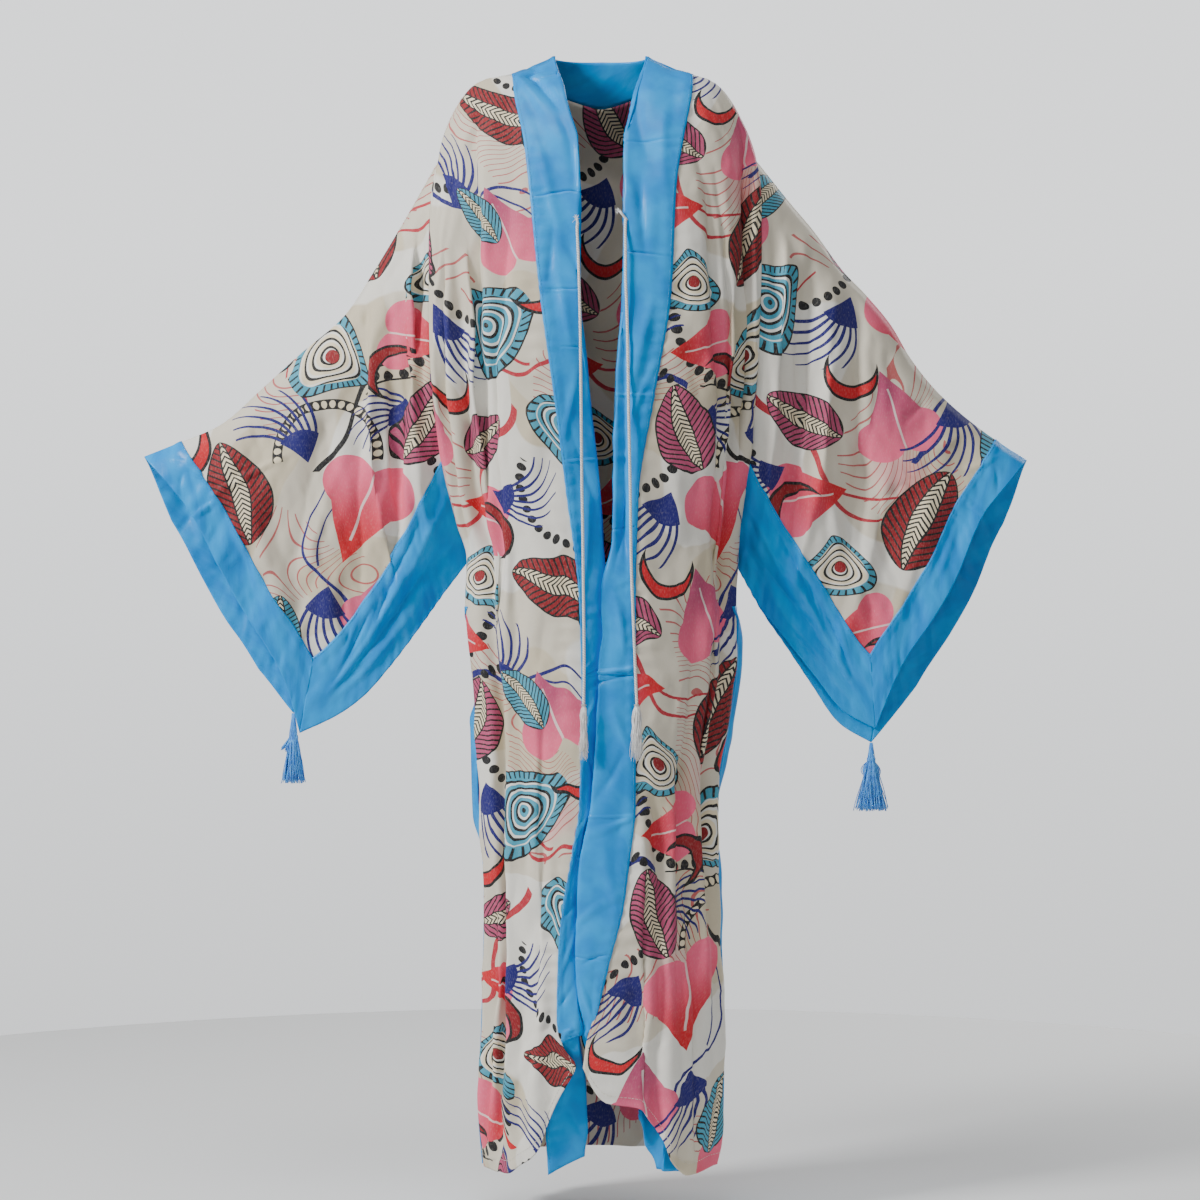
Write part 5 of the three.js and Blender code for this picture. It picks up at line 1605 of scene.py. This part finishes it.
for side, sign in sides:
    a, b = np.meshgrid(np.linspace(0, 1, sleeveCloth["columns"]), foldedRows(sleeveCloth["rows"]))
    down = np.abs(b)
    along = a * cuffSeam(down * cuffCorner[1])
    folded = b * lowerSeam(a * cuffCorner[0])
    points = shapeSleeve(sign, along, folded)
    uv = sleevePrint(sign, along, folded) + np.array(sleeveCloth[side]["print"])
    sleeve = layCloth(f"sleeve_cloth_{side}", points, awayOf(b), uv,
                      sleeveCloth["thickness"], sleeveCloth["lift"], printedCloth)
    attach(sleeve, "root")
    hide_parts(f"sleeve_{side}_front", f"sleeve_{side}_back")
    print("sleeve laid", side, "flat", round(flatArea(points), 3))

sleeveBand = {
    "thickness": 0.0010, "lap": 0.0013, "lift": 0.0004, "overlap": 0.008, "lapFade": (0.25, 0.10),
    "cuffColumns": 28, "cuffRows": 116, "lowerColumns": 100, "lowerRows": 36, "frontShort": 0.030,
    "cuffFlat": (0.60, 0.056), "lowerFlat": (0.27, 0.085), "cuffWidth": 0.055, "lowerWidth": 0.075,
    # where creases come in from the seam, where the folded edge begins, and where both end at the sides
    "cuffInner": (0.04, 0.2), "cuffOuter": (0.5, 1), "cuffEnds": ((0.02, 0.10), (1, 0.95)),
    "lowerInner": (0.03, 0.16), "lowerOuter": (0.6, 1), "lowerEnds": ((0, 0.05), (1, 0.95)),
    "behind": (0.94, 0.01), "leftAtEdge": 0.3, "waveEnd": (1, 0.85),
    "pitch": 0.018, "cuffPucker": (0.0007, 0.0011), "lowerPucker": (0.0008, 0.0012),
    "waves": {"seed": 64, "width": 0.08, "size": 0.034, "height": 0.0006, "upright": 0.15},
    "cuffCreases": creaseTable([
        (30, 44, 24, 40, 1.6, 3.6, 2), (62, 46, 12, 34, -1.5, 3.2, 2), (98, 40, 30, 44, 1.5, 3.6, 2),
        (128, 48, 8, 30, -1.4, 3, 2), (165, 36, 20, 50, 1.4, 3.4, 2), (204, 44, -10, 36, 1.5, 3, 2),
        (226, 30, 10, 70, 4, 2.6, 1), (262, 36, -30, 50, -2.2, 3.4, 3), (286, 22, 34, 40, 2.2, 3.4, 3),
        (340, 30, -20, 50, -2, 3.6, 3), (392, 40, 14, 46, 1.8, 3.4, 2), (450, 34, -24, 50, 1.8, 3.6, 3),
        (520, 42, 18, 44, -1.6, 3.4, 2), (570, 30, -12, 50, 1.8, 3.6, 2),
    ]),
    "lowerCreases": creaseTable([
        (60, 30, 88, 150, 6, 6.2, 3), (110, 46, 93, 200, -6.2, 5.6, 3), (120, 18, 84, 150, -4.6, 5, 4),
        (160, 32, 84, 140, 5.6, 5, 3), (180, 57, 91, 160, 4.6, 4.6, 2), (214, 24, 74, 80, -4.4, 4, 3),
        (232, 40, 78, 70, 4.4, 3.6, 2), (40, 56, 94, 110, -4.8, 5.6, 2),
        (196, 44, 98, 60, -3.4, 2.8, 2), (222, 14, 62, 44, 3, 3, 2), (170, 22, 70, 40, 2.6, 2.6, 2),
        (146, 40, 104, 44, 2.6, 2.6, 2),
    ]),
}


def runOf(line, axis):
    # the distance along a grid's first row or column
    steps = np.diff(line, axis=axis, prepend=line[:1, :1])
    return np.cumsum(np.linalg.norm(steps, axis=-1), axis=axis)


def bandPucker(run, across, seed, heights, inner, outer):
    # pulled at the seam, and again at the folded edge
    strength = heights[0] * inner * (1 - across) + heights[1] * outer
    return (0.5 + 0.5 * puckered(run, seed, sleeveBand["pitch"])) * strength


for side, sign in sides:
    # the cuff band, round the cuff from one lower corner to the other
    a, b = np.meshgrid(np.linspace(0, 1, sleeveBand["cuffColumns"]), foldedRows(sleeveBand["cuffRows"]))
    down = np.abs(b)
    start = cuffSeam(down * cuffCorner[1])
    # the front layer ends a little short of the back one
    short = sleeveBand["frontShort"] * midShare(down) * (b < 0)
    along = mix(start - sleeveBand["overlap"], 1 - short, a)
    folded = b * mix(cuffCorner[1], 1, a)
    points = shapeSleeve(sign, along, folded)
    out, _ = outwardsOf(points, awayOf(b))
    run = runOf(points[:, :1], 0)
    inner, outer = ramp(a, *sleeveBand["cuffInner"]), ramp(a, *sleeveBand["cuffOuter"])
    push = creaseAt(run, a * sleeveBand["cuffWidth"], sleeveBand["cuffCreases"]) * inner
    push += bandPucker(run, a, 50 + sign, sleeveBand["cuffPucker"], inner, outer)
    points = points + out * (push * inRange(down, *sleeveBand["cuffEnds"]))[..., None]
    lift = mix(sleeveBand["lift"], sleeveBand["lap"], ramp(a, *sleeveBand["lapFade"]))
    cuff = layCloth(f"cuff_band_cloth_{side}", points, awayOf(b), measuredPrint(points),
                    sleeveBand["thickness"], lift, plainBand)
    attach(cuff, "root")
    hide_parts(f"cuff_band_{side}_front", f"cuff_band_{side}_back")
    print("cuff band laid", side, "flat", round(flatArea(points), 4))
    # the lower band, one on each layer of the sleeve
    for layer, facing in layers:
        a, b = np.meshgrid(np.linspace(0, 1, sleeveBand["lowerColumns"]),
                           np.linspace(0, 1, sleeveBand["lowerRows"]))
        down = mix(lowerSeam(a * cuffCorner[0]) - sleeveBand["overlap"], 1, b)
        along = a * mix(cuffCorner[0], 1, b)
        points = shapeSleeve(sign, along, facing * down)
        out, _ = outwardsOf(points, np.array([0, facing, 0]))
        run = runOf(points[:1], 1)
        inner, outer = ramp(b, *sleeveBand["lowerInner"]), ramp(b, *sleeveBand["lowerOuter"])
        place = run if facing < 0 else run * sleeveBand["behind"][0] + sleeveBand["behind"][1]
        push = creaseAt(place, b * sleeveBand["lowerWidth"], sleeveBand["lowerCreases"])
        push = push * inner * mix(1, sleeveBand["leftAtEdge"], outer)
        waves = sleeveBand["waves"]
        wave = unevenness(b * waves["width"], run, waves["seed"] + sign + facing, waves["size"],
                          waves["height"], waves["upright"])
        push += wave * inner * ramp(b, *sleeveBand["waveEnd"])
        push += bandPucker(run, b, 60 + sign + 3 * facing, sleeveBand["lowerPucker"], inner, outer)
        points = points + out * (push * inRange(a, *sleeveBand["lowerEnds"]))[..., None]
        lift = mix(sleeveBand["lift"], sleeveBand["lap"], ramp(b, *sleeveBand["lapFade"]))
        lowerBand = layCloth(f"sleeve_band_cloth_{side}_{layer}", points, np.array([0, facing, 0]),
                             measuredPrint(points)[..., ::-1], sleeveBand["thickness"], lift, plainBand)
        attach(lowerBand, "root")
        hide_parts(f"sleeve_band_{side}_{layer}")
        print("lower band laid", side, layer, "flat", round(flatArea(points), 4))

# the sewing along the bands' seams, at a part-way column or row of each band
seamPlaces = {"front_band": 1.3, "cuff_band": 1.2, "slit_band": 1.1, "sleeve_band": 1.2}


def sewBand(band, piece, way="column"):
    seam = seamOn(f"{band}_cloth_{piece}", **{way: seamPlaces[band]})
    sewAlong(f"stitches_{band}_{piece}", [seam])


def sewHem(name, cloth):
    seam = seamOn(cloth, row=-hem["rows"] - hem["sewn"])
    sewAlong(f"stitches_hem_{name}", [seam], hemThread)


for side, _ in sides:
    sewBand("front_band", side)
    sewBand("cuff_band", side)
    for layer, _ in layers:
        sewBand("slit_band", f"{side}_{layer}")
        sewBand("sleeve_band", f"{side}_{layer}", "row")
    sewHem(side, f"front_cloth_{side}")
sewHem("back", "back_cloth")
print("seams sewn")

# tie cords and their white tassels
tieTassels = {
    "right": {"top": (-0.021, -0.1175, -0.7483), "length": 0.066, "spread": 0.0052, "strands": 110,
              "bulb": 0.0036, "end": (-0.0010, -0.0012, 0.0050), "fray": (-0.3, 0.0, 1.0)},
    "left": {"top": (0.0395, -0.1175, -0.7483), "length": 0.066, "spread": 0.0078, "strands": 130,
             "bulb": 0.0052, "end": (-0.0070, -0.0012, 0.0085), "fray": (-0.8, -0.1, 0.6)},
}
tieKnot = {"below": 0.0015, "radius": 0.0019, "width": 0.0011}
fluffThread = {"width": 0.0010, "tip": 0.6, "rows": 9, "reach": (0.7, 1.1), "fall": (0.72, 1.0),
               "flare": 0.8, "swell": 5.5, "sway": ((0.0010, 11, 1.3, 0),),
               "across": ((0.0014, 7, 1.7, 0),), "forward": ((0.0008, 8, 2.9, 0),)}
frayThread = {"count": 22, "rows": 6, "width": 0.0007, "tip": 0.5, "core": 0.0030, "fall": 0.0016,
              "bend": 0.0003, "scatter": 0.42, "length": (0.0030, 0.0062)}
for side, shape in tieTassels.items():
    line, length = smoothPath(np.array(tieCords[side]) / 1000, tieForm["rows"])
    cord = layCord(f"tie_{side}", line, tieForm["diameter"], tieCotton)
    top = np.array(shape["top"])
    strands = []
    for index in range(shape["strands"]):
        turn, share = strandPlace(index, shape["strands"])
        reach = shape["spread"] * share * dice.uniform(*fluffThread["reach"])
        down = shape["length"] * dice.uniform(*fluffThread["fall"])
        steps = np.linspace(0, 1, fluffThread["rows"])
        swell = shape["bulb"] * share * np.sin(np.clip(steps * fluffThread["swell"], 0, math.pi))
        out = np.maximum(swell, reach * steps ** fluffThread["flare"])
        out = out + ripple(steps, index, fluffThread["sway"])
        path = top + roundWay(turn) * out[:, None] + downwards * (steps * down)[:, None]
        path[:, 0] += ripple(steps, index, fluffThread["across"]) * steps
        path[:, 1] += ripple(steps, index, fluffThread["forward"]) * steps
        strands.append((path, fluffThread["width"] * (1 - fluffThread["tip"] * steps)))
    fluff = addStrands(f"tie_tassel_{side}_fluff", strands, tieFluff)
    knot = ringAround(tuple(top + downwards * tieKnot["below"]), tieKnot["radius"], tieKnot["width"],
                      tieCotton, f"tie_knot_{side}", 1)
    # the sewn end stands up a little and is frayed
    start = line[0]
    end = start + np.array(shape["end"])
    stub = [(mix(start, end, np.linspace(-0.25, 1, 5)[:, None]), np.full(5, frayThread["core"]))]
    for _ in range(frayThread["count"]):
        steps = np.linspace(0, 1, frayThread["rows"])
        way = np.array(shape["fray"]) + dice.normal(0, frayThread["scatter"], 3) * np.array([1, 0.3, 1])
        way = way / np.linalg.norm(way) * dice.uniform(*frayThread["length"])
        path = end + way * steps[:, None] + downwards * frayThread["fall"] * (steps ** 2)[:, None]
        path += dice.normal(0, frayThread["bend"], (frayThread["rows"], 3)) * steps[:, None]
        stub.append((path, frayThread["width"] * (1 - frayThread["tip"] * steps)))
    frayed = addStrands(f"tie_frayed_{side}", stub, tieFluff)
    for piece in (cord, fluff, knot, frayed):
        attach(piece, "root")
    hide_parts(f"tie_cord_{side}")
    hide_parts(f"tie_tassel_{side}")
    print("tie cord laid", side, "length", round(length, 4))

# blue tassels at the sleeves' lower corners
sleeveTassels = {
    "right": {"top": (-0.3645, 0.0013, -0.7637), "length": 0.083, "tied": 0.40, "neck": 0.0040,
              "spread": 0.0100, "strands": 150, "loops": [(0.2, 0.0050, 0.018)],
              "tufts": [(math.pi, 0.0150, 0.024), (2.8, 0.0110, 0.026)]},
    "left": {"top": (0.3179, 0.0013, -0.7986), "length": 0.081, "tied": 0.24, "neck": 0.0030,
             "spread": 0.0160, "strands": 180, "tufts": [],
             "loops": [(0.1, 0.0105, 0.030), (3.0, 0.0110, 0.026), (3.5, 0.0085, 0.024),
                       (6.1, 0.0090, 0.032)]},
}
tasselForm = {
    "thread": 0.0012, "tip": 0.2, "rows": 12, "flat": 0.7, "fall": (0.93, 1.0), "flare": (0.7, 1.08),
    "root": 0.0015, "rootPower": 1.2, "pinch": 0.28, "pinchWidth": 0.035, "skirtPower": 1.05,
    "sway": ((0.0013, 7, 2.1, 0),),
}
looseThread = {
    "from": 0.24, "width": 0.0011, "flat": 0.6,
    "loops": 7, "loopRows": 12, "loopReach": (0.75, 1.05), "loopScatter": 0.0004,
    "tufts": 26, "tuftRows": 8, "tuftReach": (0.45, 1.0), "tuftFall": (0.85, 1.0), "tuftPower": 1.25,
    "tuftScatter": 0.0012,
}
tasselWrap = {"count": 3, "pitch": 0.0011, "radius": 0.0044, "width": 0.0009, "squash": 0.75}
for side, shape in sleeveTassels.items():
    top = np.array(shape["top"])
    tied = shape["tied"]
    strands = []
    for index in range(shape["strands"]):
        turn, share = strandPlace(index, shape["strands"])
        way = roundWay(turn, tasselForm["flat"])
        down = shape["length"] * dice.uniform(*tasselForm["fall"])
        steps = np.linspace(0, 1, tasselForm["rows"])
        neck = shape["neck"] * clampShare(steps / tied) ** tasselForm["rootPower"]
        neck = (tasselForm["root"] + neck) * share
        pinch = 1 - tasselForm["pinch"] * np.exp(-((steps - tied) / tasselForm["pinchWidth"]) ** 2)
        flare = clampShare((steps - tied) / (1 - tied)) ** tasselForm["skirtPower"]
        flare = shape["spread"] * share * flare
        reach = neck * pinch + flare * dice.uniform(*tasselForm["flare"])
        path = top + way * reach[:, None] + downwards * (steps * down)[:, None]
        path[:, 0] += ripple(steps, index, tasselForm["sway"]) * steps
        strands.append((path, tasselForm["thread"] * (1 - tasselForm["tip"] * steps)))
    tiePlace = top + downwards * tied * shape["length"]
    loosePlace = top + downwards * looseThread["from"] * shape["length"]
    for turn, reach, drop in shape["loops"]:
        # loose loops of thread that bulge out beside the tie and run back into the skirt
        for _ in range(looseThread["loops"]):
            steps = np.linspace(0, math.pi, looseThread["loopRows"])
            out = roundWay(turn, looseThread["flat"]) * reach * dice.uniform(*looseThread["loopReach"])
            path = loosePlace + out * np.sin(steps)[:, None]
            path += downwards * (drop * steps / math.pi)[:, None]
            path += dice.normal(0, looseThread["loopScatter"], 3)
            strands.append((path, np.full(len(steps), looseThread["width"])))
    for turn, reach, drop in shape["tufts"]:
        # short cut threads that stick out at one side
        for _ in range(looseThread["tufts"]):
            steps = np.linspace(0, 1, looseThread["tuftRows"])
            out = roundWay(turn, looseThread["flat"]) * reach * dice.uniform(*looseThread["tuftReach"])
            path = loosePlace + out * (steps ** looseThread["tuftPower"])[:, None]
            path += downwards * (drop * dice.uniform(*looseThread["tuftFall"]) * steps)[:, None]
            path[:, 1] += dice.normal(0, looseThread["tuftScatter"]) * steps
            strands.append((path, np.full(len(steps), looseThread["width"])))
    tassel = addStrands(f"sleeve_tassel_{side}_threads", strands, tasselThread)
    wraps = []
    for step in range(tasselWrap["count"]):
        centre = tuple(tiePlace + downwards * tasselWrap["pitch"] * (step - 1))
        wraps.append(ringAround(centre, tasselWrap["radius"], tasselWrap["width"], tasselThread,
                                f"tassel_wrap_{side}_{step}", tasselWrap["squash"]))
    for piece in [tassel] + wraps:
        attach(piece, "root")
    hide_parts(f"sleeve_tassel_{side}")
    print("sleeve tassel made", side)

# floor and light
studio = {"floor": -1.352, "reach": 1.7, "sides": 64}
turns = np.linspace(0, 2 * math.pi, studio["sides"], endpoint=False)
reach = studio["reach"]
rim = np.stack([reach * np.cos(turns), reach * np.sin(turns), 0 * turns + studio["floor"]], axis=1)
paper, paperSurface = newFinish("floorPaper")
joinTo(paperSurface, Base_Color=colour(222, 223, 223), Roughness=0.9)
addMesh("floor", rim, [tuple(range(studio["sides"]))], paper)

lights = {
    "key": {"place": (-3.0, -1.8, 1.3), "size": 0.9, "power": 188, "aim": (0, 0, -0.55)},
    "fill": {"place": (2.4, -2.8, 0.4), "size": 2.6, "power": 14, "aim": (0, 0, -0.6)},
    "top": {"place": (-0.4, -1.3, 2.3), "size": 1.4, "power": 34, "aim": (0, 0, -0.4)},
    "behind": {"place": (1.8, 2.6, 1.0), "size": 2.0, "power": 90, "aim": (0, 0, -0.6)},
}
for name, light in lights.items():
    lamp = bpy.data.lights.new(name, "AREA")
    lamp.energy, lamp.size = light["power"], light["size"]
    lampPiece = bpy.data.objects.new(name, lamp)
    lampPiece.location = light["place"]
    aim = Vector(light["aim"]) - Vector(light["place"])
    lampPiece.rotation_euler = aim.to_track_quat("-Z", "Y").to_euler()
    bpy.context.collection.objects.link(lampPiece)

# the room: pale walls in sight, darker towards the floor, and a softer light from them on the cloth
room = {"shine": 0.31, "colour": colour(232, 234, 236),
        "seen": {"From Min": -0.24, "From Max": 0.12, "To Min": 1.12, "To Max": 1.85}}
world = bpy.data.worlds.new("room")
bpy.context.scene.world = world
world.use_nodes = True
network = world.node_tree
walls = network.nodes["Background"]
walls.inputs["Color"].default_value = room["colour"]
way = network.nodes.new("ShaderNodeTexCoord").outputs["Generated"]
height = network.nodes.new("ShaderNodeSeparateXYZ")
network.links.new(way, height.inputs[0])
seen = network.nodes.new("ShaderNodeMapRange")
for socket, value in room["seen"].items():
    seen.inputs[socket].default_value = value
network.links.new(height.outputs["Z"], seen.inputs["Value"])
strength = network.nodes.new("ShaderNodeMix")
strength.inputs["A"].default_value = room["shine"]
ray = network.nodes.new("ShaderNodeLightPath").outputs["Is Camera Ray"]
network.links.new(ray, strength.inputs["Factor"])
network.links.new(seen.outputs["Result"], strength.inputs["B"])
network.links.new(strength.outputs["Result"], walls.inputs["Strength"])
print("lit")
